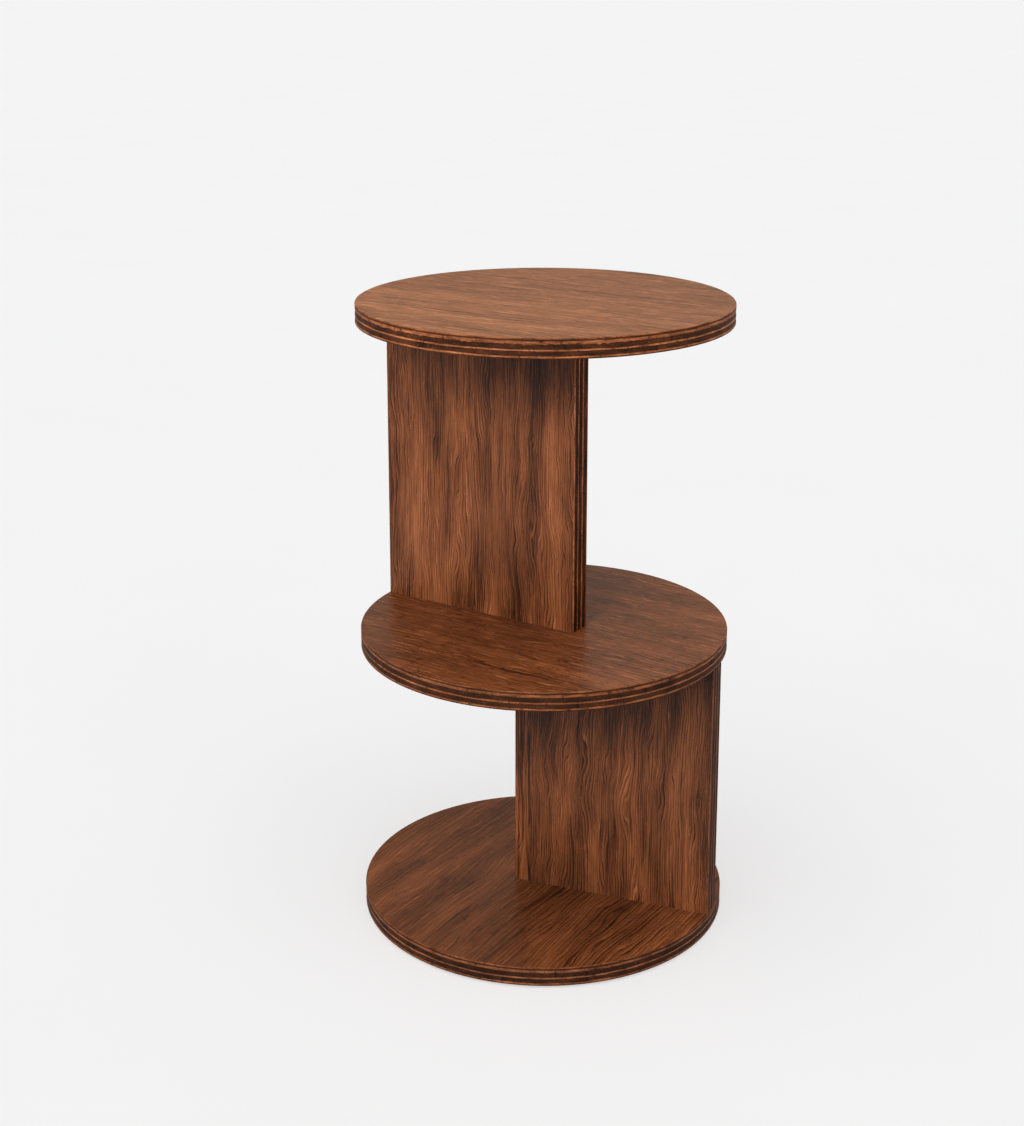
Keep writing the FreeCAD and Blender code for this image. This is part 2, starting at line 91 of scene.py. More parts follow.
# ------------------------------------------------------------------ small mesh kit
class Mesh:
    """Collects vertices (mm, row frame), faces, a material per face, and a ply depth per vertex."""

    def __init__(self):
        self.co, self.ply, self.faces, self.mats, self.smooth = [], [], [], [], []

    def vert(self, p, ply=0.0):
        self.co.append((p[0], p[1], p[2]))
        self.ply.append(ply)
        return len(self.co) - 1

    def face(self, ids, mat=0, smooth=True):
        self.faces.append(tuple(ids))
        self.mats.append(mat)
        self.smooth.append(smooth)

    def strip(self, a, b, mat=0, smooth=True, closed=True):
        n = len(a)
        for i in range(n if closed else n - 1):
            j = (i + 1) % n
            self.face((a[i], a[j], b[j], b[i]), mat, smooth)

    def build(self, name, materials, fills=(), sharp_deg=35.0):
        me = bpy.data.meshes.new(name)
        me.from_pydata([(x * MM, y * MM, z * MM) for x, y, z in self.co], [], self.faces)
        for m in materials:
            me.materials.append(m)
        me.polygons.foreach_set("material_index", np.array(self.mats, np.int32))
        me.polygons.foreach_set("use_smooth", np.array(self.smooth, bool))
        layer = me.attributes.new("ply", "FLOAT", "POINT")
        layer.data.foreach_set("value", np.array(self.ply, np.float32))
        bm = bmesh.new()
        bm.from_mesh(me)
        bm.verts.ensure_lookup_table()
        for loops, mat, normal in fills:
            edges = []
            for loop in loops:
                for i in range(len(loop)):
                    va, vb = bm.verts[loop[i]], bm.verts[loop[(i + 1) % len(loop)]]
                    e = bm.edges.get((va, vb))
                    if e is None:
                        e = bm.edges.new((va, vb))
                    edges.append(e)
            made = bmesh.ops.triangle_fill(bm, use_beauty=True, use_dissolve=False, edges=edges, normal=normal)
            for g in made["geom"]:
                if isinstance(g, bmesh.types.BMFace):
                    g.material_index = mat
                    g.smooth = False
        bmesh.ops.recalc_face_normals(bm, faces=bm.faces)
        limit = math.radians(sharp_deg)
        for e in bm.edges:
            if len(e.link_faces) == 2 and e.calc_face_angle(0.0) > limit:
                e.smooth = False
        bm.to_mesh(me)
        bm.free()
        obj = bpy.data.objects.new(name, me)
        bpy.context.scene.collection.objects.link(obj)
        return obj


def wobble(x, y, z, seed, scale):
    """Smooth noise, about -1 to 1, of a point in mm; scale is the size of its features in mm."""
    return noise.noise(Vector((x / scale + seed * 17.31, y / scale - seed * 9.7, z / scale + seed * 3.3))) * 1.6


def ply_rows(plies, total):
    """Rows across a plywood edge: nominal depth, set-back, and how much the ply line may wander."""
    rows = []
    last = 0.0
    for k, (end, light, back) in enumerate(plies):
        start = last
        wide = end - start
        soft = min(0.16, wide * 0.2)
        if k > 0:
            rows.append((start + soft, back, 1.0, k))
        if wide > 1.4:
            rows.append((start + wide * 0.35, back, 0.4, k))
            rows.append((start + wide * 0.68, back, 0.4, k))
        if k < len(plies) - 1:
            rows.append((end - soft, back, 1.0, k))
        last = end
    return rows


def hole(mesh, centre, axis_z, radius, z_open, z_end, mat, segments=40):
    """A round blind bore along Z. Returns its open loop."""
    open_loop, end_loop = [], []
    for i in range(segments):
        a = 2 * math.pi * i / segments
        x, y = centre[0] + radius * math.cos(a), centre[1] + radius * math.sin(a)
        open_loop.append(mesh.vert((x, y, z_open)))
        end_loop.append(mesh.vert((x, y, z_end)))
    mesh.strip(open_loop, end_loop, mat)
    mesh.face(end_loop, mat, False)
    return open_loop


def panel_point(panel, s, n):
    """A point s along a panel and n across it (from the axis of the discs), in the row frame."""
    c, d = math.cos(panel["turn"]), math.sin(panel["turn"])
    return (s * c - n * d, s * d + n * c)


# ------------------------------------------------------------------ the discs
def build_disc(name, z_low, above, below, materials, seed, ragged):
    z_top = z_low + DISC_T
    mesh = Mesh()
    count = 960
    rho = 0.8
    rows = []                                    # radius inset, depth, nominal depth, wander, ply
    rows.append((2.4, 0.0, 0.0, 0.0, 0))
    rows.append((1.3, 0.0, 0.0, 0.0, 0))
    for i in range(6):
        a = math.radians(90.0 * i / 5)
        rows.append((rho - rho * math.sin(a), rho - rho * math.cos(a), 0.75 * i / 5 * 0.9, 0.0, 0))
    for depth, back, free, k in ply_rows(DISC_PLIES, DISC_T):
        if depth > rho * 1.02 and depth < DISC_T - rho * 1.02:
            rows.append((back, depth, depth, free, k))
    for i in range(6):
        a = math.radians(90.0 * i / 5)
        rows.append((rho - rho * math.cos(a), DISC_T - rho + rho * math.sin(a), DISC_T - 0.7 + 0.7 * i / 5, 0.0, 7))
    rows.append((1.3, DISC_T, DISC_T, 0.0, 7))
    rows.append((2.4, DISC_T, DISC_T, 0.0, 7))
    rings = []
    for inset, depth, nominal, free, k in rows:
        ring = []
        for i in range(count):
            a = 2 * math.pi * i / count
            ca, sa = math.cos(a), math.sin(a)
            r, d = DISC_R - inset, depth
            if free:
                x, y = DISC_R * ca, DISC_R * sa
                d += free * (0.10 * wobble(x, y, nominal * 9, seed, 26.0) + 0.05 * wobble(x, y, nominal * 7, seed + 3, 7.0))
                if ragged and 4.5 < nominal < 6.0:      # the light ply's lower border is torn here and there
                    d += min(1.1, 1.05 * max(0.0, wobble(x, y, 5.0, seed + 5, 3.0)) * (0.3 + 0.9 * abs(wobble(x, y, 0, seed + 6, 60.0))))
                r -= abs(0.05 * wobble(x, y, nominal * 5, seed + 1, 11.0)) + abs(0.04 * wobble(x, y, nominal * 11, seed + 2, 3.5))
            ring.append(mesh.vert((r * ca, r * sa, z_top - d), nominal))
        rings.append(ring)
    for j in range(len(rings) - 1):
        face_mat = 0 if rows[j + 1][2] == 0.0 else (1 if rows[j][2] < DISC_T else 0)
        mesh.strip(rings[j], rings[j + 1], face_mat)
    top_loops, low_loops = [rings[0]], [rings[-1]]
    for panel, from_top in ((above, True), (below, False)):
        if panel is None:
            continue
        for s in panel["dowels"]:
            p = panel_point(panel, s, panel["offset"])
            loop = hole(mesh, p, 1, 4.0, z_top if from_top else z_low, z_top - 10.5 if from_top else z_low + 10.5, 2)
            (top_loops if from_top else low_loops).append(loop)
        for s in panel["bolts"]:
            p = panel_point(panel, s, panel["offset"])
            loop = hole(mesh, p, 1, 3.5, z_top if from_top else z_low, z_top - 11.5 if from_top else z_low + 11.5, 2)
            (top_loops if from_top else low_loops).append(loop)
    obj = mesh.build(name, materials, [(top_loops, 0, Vector((0, 0, 1))), (low_loops, 0, Vector((0, 0, -1)))])
    return obj


# ------------------------------------------------------------------ the upright panels
def panel_outline(panel):
    """The panel's plan, anticlockwise from the front left corner, as (s, n, ply depth, zone)."""
    front, back = panel["offset"] - PANEL_T / 2, panel["offset"] + PANEL_T / 2
    rho = 0.6
    across = [(depth, inset) for depth, inset, free, k in ply_rows(PANEL_PLIES, PANEL_T) if rho * 1.05 < depth < PANEL_T - rho * 1.05]
    side = panel["side"]

    def end_s(n):
        return side * math.sqrt(PANEL_R ** 2 - n * n)

    square = []                     # the square end, from the front face to the back face
    out = -side                     # which way the square end looks along s
    for i in range(5):
        a = math.radians(90.0 * i / 4)
        square.append((panel["square"] - out * rho * (1 - math.sin(a)), front + rho * (1 - math.cos(a)), 0.55 * i / 4, 0.0))
    for depth, inset in across:
        square.append((panel["square"] - out * inset, front + depth, depth, 1.0))
    for i in range(5):
        a = math.radians(90.0 * i / 4)
        square.append((panel["square"] - out * rho * (1 - math.cos(a)), back - rho + rho * math.sin(a), PANEL_T - 0.55 + 0.55 * i / 4, 0.0))
    rim = []
    for i in range(5):
        a = math.radians(90.0 * i / 4)
        n = front + rho * (1 - math.cos(a))
        rim.append((end_s(front + rho) - side * rho * (1 - math.sin(a)), n, 0.55 * i / 4, 0.0))
    for depth, inset in across:
        n = front + depth
        rim.append((end_s(n) - side * inset, n, depth, 1.0))
    for i in range(5):
        a = math.radians(90.0 * i / 4)
        n = back - rho + rho * math.sin(a)
        rim.append((end_s(back - rho) - side * rho * (1 - math.cos(a)), n, PANEL_T - 0.55 + 0.55 * i / 4, 0.0))
    return square, rim


def build_panel(name, panel, z_low, z_high, materials, seed):
    mesh = Mesh()
    square, rim = panel_outline(panel)
    high = z_high - z_low
    levels = int(round(high / 2.2))
    side = panel["side"]

    def columns(points, outward):
        cols = []
        for s, n, depth, free in points:
            col = []
            for k in range(levels + 1):
                z = z_low + high * k / levels
                ds = dn = 0.0
                if free:
                    dn = 0.10 * wobble(z, depth * 8, s, seed, 30.0) + 0.05 * wobble(z, depth * 6, s, seed + 3, 8.0)
                    ds = abs(0.05 * wobble(z, depth * 9, s, seed + 1, 12.0)) + abs(0.05 * wobble(z, depth * 11, s, seed + 2, 4.0))
                x, y = panel_point(panel, s - outward * ds, n + dn)
                col.append(mesh.vert((x, y, z), depth))
            cols.append(col)
        return cols

    sq = columns(square, -side)
    rm = columns(rim, side)
    for cols in (sq, rm):
        for a, b in zip(cols[:-1], cols[1:]):
            mesh.strip(a, b, 1, True, closed=False)
    back_n = panel["offset"] + PANEL_T / 2
    # cam bores in the back face
    bores = []
    for s in panel["bolts"]:
        for zc in (z_low + 34.0, z_high - 34.0):
            mouth, floor = [], []
            for i in range(48):
                a = 2 * math.pi * i / 48
                ss, zz = s + 7.5 * math.cos(a), zc + 7.5 * math.sin(a)
                x, y = panel_point(panel, ss, back_n)
                mouth.append(mesh.vert((x, y, zz)))
                x, y = panel_point(panel, ss, back_n - 16.5)
                floor.append(mesh.vert((x, y, zz)))
            mesh.strip(mouth, floor, 2)
            mesh.face(floor, 2, False)
            bores.append(mouth)
    ends = []
    for z, into in ((z_low, 1.0), (z_high, -1.0)):
        loops = []
        for s in panel["dowels"]:
            loops.append(hole(mesh, panel_point(panel, s, panel["offset"]), 1, 4.0, z, z + into * 20.5, 2))
        for s in panel["bolts"]:
            loops.append(hole(mesh, panel_point(panel, s, panel["offset"]), 1, 4.0, z, z + into * 26.3, 2))
        k = 0 if into > 0 else levels
        outline = [c[k] for c in sq] + [c[k] for c in reversed(rm)]
        ends.append(([outline] + loops, 2, Vector((0, 0, -into))))
    c, d = math.cos(panel["turn"]), math.sin(panel["turn"])
    fills = []
    fills.append(([sq[0] + list(reversed(rm[0]))], 0, Vector((d, -c, 0))))
    fills.append(([sq[-1] + list(reversed(rm[-1]))] + bores, 0, Vector((-d, c, 0))))
    return mesh.build(name, materials, fills + ends)


# ------------------------------------------------------------------ node kit for the materials
class Graph:
    def __init__(self, name):
        self.mat = bpy.data.materials.new(name)
        self.mat.use_nodes = True
        self.tree = self.mat.node_tree
        self.tree.nodes.clear()
        self.count = 0

    def node(self, kind, inputs=None, **props):
        n = self.tree.nodes.new(kind)
        n.location = (self.count % 12 * 190, -(self.count // 12) * 260)
        self.count += 1
        for k, v in props.items():
            setattr(n, k, v)
        for k, v in (inputs or {}).items():
            self.put(n.inputs[k], v)
        return n

    def put(self, socket, value):
        if isinstance(value, bpy.types.NodeSocket):
            self.tree.links.new(value, socket)
        else:
            socket.default_value = value

    def m(self, op, a, b=None, c=None, clamp=False):
        n = self.node("ShaderNodeMath", operation=op, use_clamp=clamp)
        for i, v in enumerate((a, b, c)):
            if v is not None:
                self.put(n.inputs[i], v)
        return n.outputs[0]

    def add(self, a, b):
        return self.m("ADD", a, b)

    def sub(self, a, b):
        return self.m("SUBTRACT", a, b)

    def mul(self, a, b):
        return self.m("MULTIPLY", a, b)

    def mad(self, a, b, c):
        return self.m("MULTIPLY_ADD", a, b, c)

    def step(self, x, low, high, out_low=0.0, out_high=1.0):
        n = self.node("ShaderNodeMapRange", {"Value": x, "From Min": low, "From Max": high, "To Min": out_low,
                                             "To Max": out_high}, interpolation_type="SMOOTHSTEP")
        return n.outputs[0]

    def line(self, x, low, high, out_low=0.0, out_high=1.0):
        n = self.node("ShaderNodeMapRange", {"Value": x, "From Min": low, "From Max": high, "To Min": out_low,
                                             "To Max": out_high}, interpolation_type="LINEAR", clamp=True)
        return n.outputs[0]

    def xyz(self, v):
        n = self.node("ShaderNodeSeparateXYZ", {0: v})
        return n.outputs[0], n.outputs[1], n.outputs[2]

    def vec(self, x=0.0, y=0.0, z=0.0):
        n = self.node("ShaderNodeCombineXYZ", {0: x, 1: y, 2: z})
        return n.outputs[0]

    def noise(self, vector, detail=0.0, rough=0.5, dims="2D", lac=2.0, scale=1.0, distortion=0.0):
        n = self.node("ShaderNodeTexNoise", {"Vector": vector}, noise_dimensions=dims)
        n.inputs["Scale"].default_value = scale
        n.inputs["Detail"].default_value = detail
        n.inputs["Roughness"].default_value = rough
        n.inputs["Lacunarity"].default_value = lac
        n.inputs["Distortion"].default_value = distortion
        return n.outputs["Fac"] if "Fac" in n.outputs else n.outputs[0]

    def centred(self, *args, **kw):
        return self.sub(self.noise(*args, **kw), 0.5)

    def ramp(self, fac, stops, mode="LINEAR"):
        n = self.node("ShaderNodeValToRGB", {0: fac})
        r = n.color_ramp
        r.interpolation = mode
        while len(r.elements) > 1:
            r.elements.remove(r.elements[-1])
        r.elements[0].position = stops[0][0]
        r.elements[0].color = self.rgba(stops[0][1])
        for pos, col in stops[1:]:
            e = r.elements.new(pos)
            e.color = self.rgba(col)
        return n.outputs[0]

    @staticmethod
    def rgba(col):
        if isinstance(col, (int, float)):
            return (col, col, col, 1.0)
        return (col[0], col[1], col[2], 1.0)

    def mix(self, fac, a, b, mode="MIX"):
        n = self.node("ShaderNodeMix", data_type="RGBA", blend_type=mode, clamp_factor=True)
        self.put(n.inputs[0], fac)
        for i, v in ((6, a), (7, b)):
            self.put(n.inputs[i], v if isinstance(v, bpy.types.NodeSocket) else self.rgba(v))
        return n.outputs[2]

    def blend(self, fac, a, b):
        n = self.node("ShaderNodeMix", data_type="FLOAT", clamp_factor=True)
        for i, v in ((0, fac), (2, a), (3, b)):
            self.put(n.inputs[i], v)
        return n.outputs[0]

    def bump(self, height, strength, distance, normal=None):
        n = self.node("ShaderNodeBump", {"Height": height})
        n.inputs["Strength"].default_value = strength
        n.inputs["Distance"].default_value = distance
        if normal is not None:
            self.put(n.inputs["Normal"], normal)
        return n.outputs[0]

    def finish(self, color, rough, normal=None, metallic=0.0, specular=0.5, ior=1.5, coat=0.0, coat_rough=0.3, sheen=0.0):
        p = self.node("ShaderNodeBsdfPrincipled", {"Base Color": color, "Roughness": rough})
        p.inputs["Metallic"].default_value = metallic
        p.inputs["Specular IOR Level"].default_value = specular
        p.inputs["IOR"].default_value = ior
        p.inputs["Coat Weight"].default_value = coat
        p.inputs["Coat Roughness"].default_value = coat_rough
        p.inputs["Sheen Weight"].default_value = sheen
        if normal is not None:
            self.put(p.inputs["Normal"], normal)
        out = self.node("ShaderNodeOutputMaterial")
        self.tree.links.new(p.outputs[0], out.inputs[0])
        return self.mat


def board_coords(g, turn, upright):
    """Millimetres along the grain, across it, and through the board."""
    tc = g.node("ShaderNodeTexCoord")
    mp = g.node("ShaderNodeMapping", {"Vector": tc.outputs["Object"]}, vector_type="POINT")
    mp.inputs["Rotation"].default_value = (0.0, 0.0, -turn)
    mp.inputs["Scale"].default_value = (1000.0, 1000.0, 1000.0)
    a, b, c = g.xyz(mp.outputs[0])
    return (c, a, b) if upright else (a, b, c)


def board_vector(g):
    """The point in millimetres, in the row frame."""
    tc = g.node("ShaderNodeTexCoord")
    mp = g.node("ShaderNodeMapping", {"Vector": tc.outputs["Object"]}, vector_type="POINT")
    mp.inputs["Scale"].default_value = (1000.0, 1000.0, 1000.0)
    return mp.outputs[0]


# ------------------------------------------------------------------ face veneer
def veneer(name, turn, upright, middle, seed, spacing=3.0, figure=4.4, islands=2.5, sway=17.0, wave=2.6, curl=1.2, contrast=1.0,
           bands=1.0, lines=1.0, spots=1.0, dashes=0.0, glints=0.0, patches=0.0, ripple=0.0, eyes=0.0, strands=0.08, edge=None,
           hairs=0.0, pale_lines=1.0, focus=None, fade=None, tint=(1.0, 1.0, 1.0), gain=0.76, lift=0.0, rough=0.46, spec=0.18, under=None):
    g = Graph(name)
    u, v, w = board_coords(g, turn, upright)
    side = g.m("GREATER_THAN", w, middle)
    v_raw = v
    u = g.add(u, g.mad(side, 611.0, 1000.0 + seed * 137.0))
    v = g.add(v, g.mad(side, 233.0, seed * 59.0))
    # slow sway of the fibres, then shorter waves, stronger in some places than in others
    q1 = g.centred(g.vec(g.mul(u, 1 / 170), g.mul(v, 1 / 75)), detail=1.0)
    v1 = g.mad(q1, sway, v)
    lively = g.step(g.noise(g.vec(g.mul(u, 1 / 90), g.mul(v1, 1 / 30)), detail=1.0), 0.36, 0.60)
    q2 = g.centred(g.vec(g.mul(u, 1 / 36), g.mul(v1, 1 / 13)), detail=1.0)
    q3 = g.centred(g.vec(g.mul(u, 1 / 13), g.mul(v1, 1 / 5)), detail=1.0)
    v2 = g.mad(g.mul(q2, g.mad(lively, 0.9, 0.30)), wave, v1)
    v2 = g.mad(g.mul(q3, g.mad(lively, 0.8, 0.25)), curl, v2)
    if ripple:                     # short shallow waves
        q4 = g.centred(g.vec(g.mul(u, 1 / 6.5), g.mad(v1, 1 / 3.2, 61.0)), detail=1.0, rough=0.6)
        v2 = g.mad(g.mul(q4, g.mad(lively, 0.6, 0.4)), ripple, v2)
    # growth rings met at a shallow angle, which gives cathedrals and islands, unevenly spaced
    f1 = g.centred(g.vec(g.mul(u, 1 / 210), g.mad(v2, 1 / 42, 5.3)))
    f2 = g.centred(g.vec(g.mul(u, 1 / 48), g.mad(v2, 1 / 14, 9.1)))
    f3 = g.centred(g.vec(g.mul(u, 1 / 330), g.mad(v2, 1 / 7.5, 2.7)))
    ring = g.mad(v2, 1 / spacing, g.mad(f1, figure, g.mad(f3, 1.1, g.mul(g.mul(f2, g.mad(lively, 0.95, 0.10)), islands))))
    if eyes:                       # small closed loops
        f4 = g.centred(g.vec(g.mul(u, 1 / 24), g.mad(v2, 1 / 7.5, 83.0)), detail=1.0)
        ring = g.mad(g.mul(f4, g.mad(lively, 0.8, 0.2)), eyes, ring)
    saw = g.m("FRACT", ring)
    ident = g.m("FLOOR", ring)
    rnd = g.node("ShaderNodeTexWhiteNoise", {"W": ident}, noise_dimensions="1D").outputs[0]
    along = g.noise(g.vec(g.mul(u, 1 / 42), g.mul(ident, 7.31)), detail=2.0)
    strong = g.step(g.mad(rnd, 0.40, along), 0.45, 0.92)
    other = g.step(g.noise(g.vec(g.mad(u, 1 / 30, 31.0), g.mul(ident, 5.17)), detail=1.0), 0.36, 0.68)
    late = g.mul(g.step(saw, 0.60, 0.86), g.step(saw, 0.92, 1.0, 1.0, 0.0))
    early = g.mul(g.step(saw, 0.0, 0.06), g.step(saw, 0.13, 0.30, 1.0, 0.0))
    late = g.mul(late, g.mad(strong, 0.70, 0.30))
    if focus is not None:          # the dark lines stand out more on one side of the board
        fx, fy, start, stop, weak, full = focus
        px, py, pz = g.xyz(board_vector(g))
        late = g.mul(late, g.step(g.mad(px, fx, g.mul(py, fy)), start, stop, weak, full))
    early = g.mul(early, g.mad(other, 0.75, 0.25))
    # finer lines between the rings, darker strands, fibres, pores and soft broad bands
    fine = g.centred(g.vec(g.mul(u, 1 / 90), g.mul(ring, 2.3)), detail=2.0, rough=0.65)
    strand = g.step(g.noise(g.vec(g.mul(u, 1 / 120), g.mad(ring, 0.62, 3.3)), detail=1.5), 0.50, 0.74)
    fibre = g.centred(g.vec(g.mul(u, 1 / 15), g.mul(v2, 1.5)), detail=2.0, rough=0.7)
    pore = g.step(g.noise(g.vec(g.mul(u, 1 / 4.4), g.mul(v2, 1 / 0.9)), detail=1.0, rough=0.6), 0.74, 0.82)
    # painted glints: small pale flecks where the pores would catch the light
    fleck = g.step(g.noise(g.vec(g.mul(u, 1 / 3.1), g.mad(v2, 1 / 1.5, 40.0)), detail=1.0, rough=0.6), 0.775, 0.83)
    broad = g.centred(g.vec(g.mul(u, 1 / 250), g.mul(v1, 1 / 27)), detail=1.0, rough=0.5)
    smudge = g.centred(g.vec(g.mul(u, 1 / 60), g.mul(v1, 1 / 15)), detail=2.0, rough=0.55)
    tone = g.mad(broad, 0.70 * bands, 0.52 + lift)
    tone = g.mad(smudge, 0.36 * bands, tone)
    tone = g.mad(fine, 0.36 * contrast, tone)
    tone = g.mad(fibre, 0.34 * contrast, tone)
    tone = g.mad(strand, -strands * contrast, tone)
    tone = g.mad(late, -0.34 * contrast * lines, tone)
    tone = g.mad(early, 0.32 * contrast * lines * pale_lines, tone)
    if hairs:                      # hairlines, thin, long and dark
        hair = g.step(g.noise(g.vec(g.mul(u, 1 / 75), g.mad(v2, 1 / 1.25, 19.0)), detail=1.0, rough=0.6), 0.55, 0.68)
        patchy = g.step(g.noise(g.vec(g.mul(u, 1 / 50), g.mad(v1, 1 / 13, 37.0)), detail=1.0), 0.34, 0.62, 0.35, 1.0)
        tone = g.mad(g.mul(hair, patchy), -0.26 * hairs, tone)
    tone = g.mad(pore, -0.26 * spots, tone)
    # the pale flecks are painted glints
    tone = g.mad(fleck, 0.30 * spots, tone)
    if dashes:                     # short dark dashes where the vessels run out of the surface
        dash = g.step(g.noise(g.vec(g.mul(u, 1 / 8.5), g.mad(v2, 1 / 2.3, 71.0)), detail=2.0, rough=0.65), 0.585, 0.69)
        dense = g.step(g.noise(g.vec(g.mul(u, 1 / 60), g.mad(v1, 1 / 22, 13.0)), detail=1.0), 0.34, 0.66, 0.35, 1.0)
        tone = g.mad(g.mul(dash, dense), -0.30 * dashes, tone)
    if glints:                     # painted glints: thin pale streaks along the fibres, where they would catch the light
        glint = g.step(g.noise(g.vec(g.mul(u, 1 / 26), g.mad(v2, 1 / 1.9, 151.0)), detail=2.0, rough=0.6), 0.575, 0.72)
        tone = g.mad(glint, 0.28 * glints, tone)
    if patches:                    # darker clouds
        patch = g.step(g.noise(g.vec(g.mul(u, 1 / 46), g.mad(v1, 1 / 17, 5.0)), detail=2.0, rough=0.55), 0.52, 0.74)
        tone = g.mad(patch, -0.24 * patches, tone)
    if fade is not None:           # painted shade: the whole board runs slightly darker towards one side, where less light falls on it
        fx, fy, start, stop, near, far = fade
        px, py, pz = g.xyz(board_vector(g))
        tone = g.add(tone, g.step(g.mad(px, fx, g.mul(py, fy)), start, stop, near, far))
    if edge is not None:           # a strip of straight, paler grain along one edge, with a dark line down it
        wander = g.mad(q2, 2.2, g.mad(q3, 1.4, v_raw))
        pale = g.step(wander, edge + 15.0, edge + 19.0, 1.0, 0.0)
        seam = g.mul(g.step(wander, edge + 13.0, edge + 14.2), g.step(wander, edge + 15.2, edge + 17.0, 1.0, 0.0))
        seam = g.mul(seam, g.step(g.noise(g.vec(g.mul(u, 1 / 35), 4.4), detail=1.0), 0.30, 0.62, 0.25, 1.0))
        straight = g.step(g.noise(g.vec(g.mul(u, 1 / 110), g.mad(wander, 1 / 2.2, 27.0)), detail=1.0), 0.44, 0.62)
        tone = g.mad(pale, g.mad(straight, -0.24, 0.17), g.mad(seam, -0.40, tone))
    if under is not None:          # painted shadow: the board is darker close under a disc, where the disc above shades it
        at, reach, v0, v1, deep0, deep1, drop0, drop1 = under     # how deep and how far down differ along the board
        painted_shade_depth = g.step(v_raw, v0, v1, deep0, deep1)
        height = g.add(g.xyz(board_vector(g))[2], g.step(v_raw, v0, v1, drop0, drop1))
        tone = g.sub(tone, g.mul(g.step(height, at - reach, at), painted_shade_depth))
    if not upright:                # the sanded arris is worn a little lighter, and a painted highlight along it stands in for the light the rounded edge catches
        ply = g.node("ShaderNodeAttribute", attribute_name="ply", attribute_type="GEOMETRY").outputs["Fac"]
        worn_arris_and_highlight = g.mul(g.step(ply, 0.03, 0.22), g.step(ply, 1.0, 2.0, 1.0, 0.0))
        tone = g.mad(worn_arris_and_highlight, g.mad(broad, 1.2, 0.20), tone)
    tone = g.m("MULTIPLY", tone, 1.0, clamp=True)
    shades = [(0.0, (0.018, 0.0048, 0.0016)), (0.25, (0.080, 0.0222, 0.0064)), (0.50, (0.200, 0.0585, 0.0178)),
              (0.75, (0.345, 0.1060, 0.0355)), (1.0, (0.570, 0.2100, 0.0840))]
    color = g.ramp(tone, [(at, tuple(c * gain * t for c, t in zip(shade, tint))) for at, shade in shades])
    height = g.mad(fine, 0.5, g.mad(fibre, 0.45, g.mad(pore, -0.55, g.mul(late, -0.35))))
    normal = g.bump(height, 0.55, 0.0002)
    r = g.mad(fibre, 0.16, g.mad(fine, -0.10, g.mad(pore, 0.18, rough)))
    return g.finish(color, g.m("MULTIPLY", r, 1.0, clamp=True), normal, specular=spec)


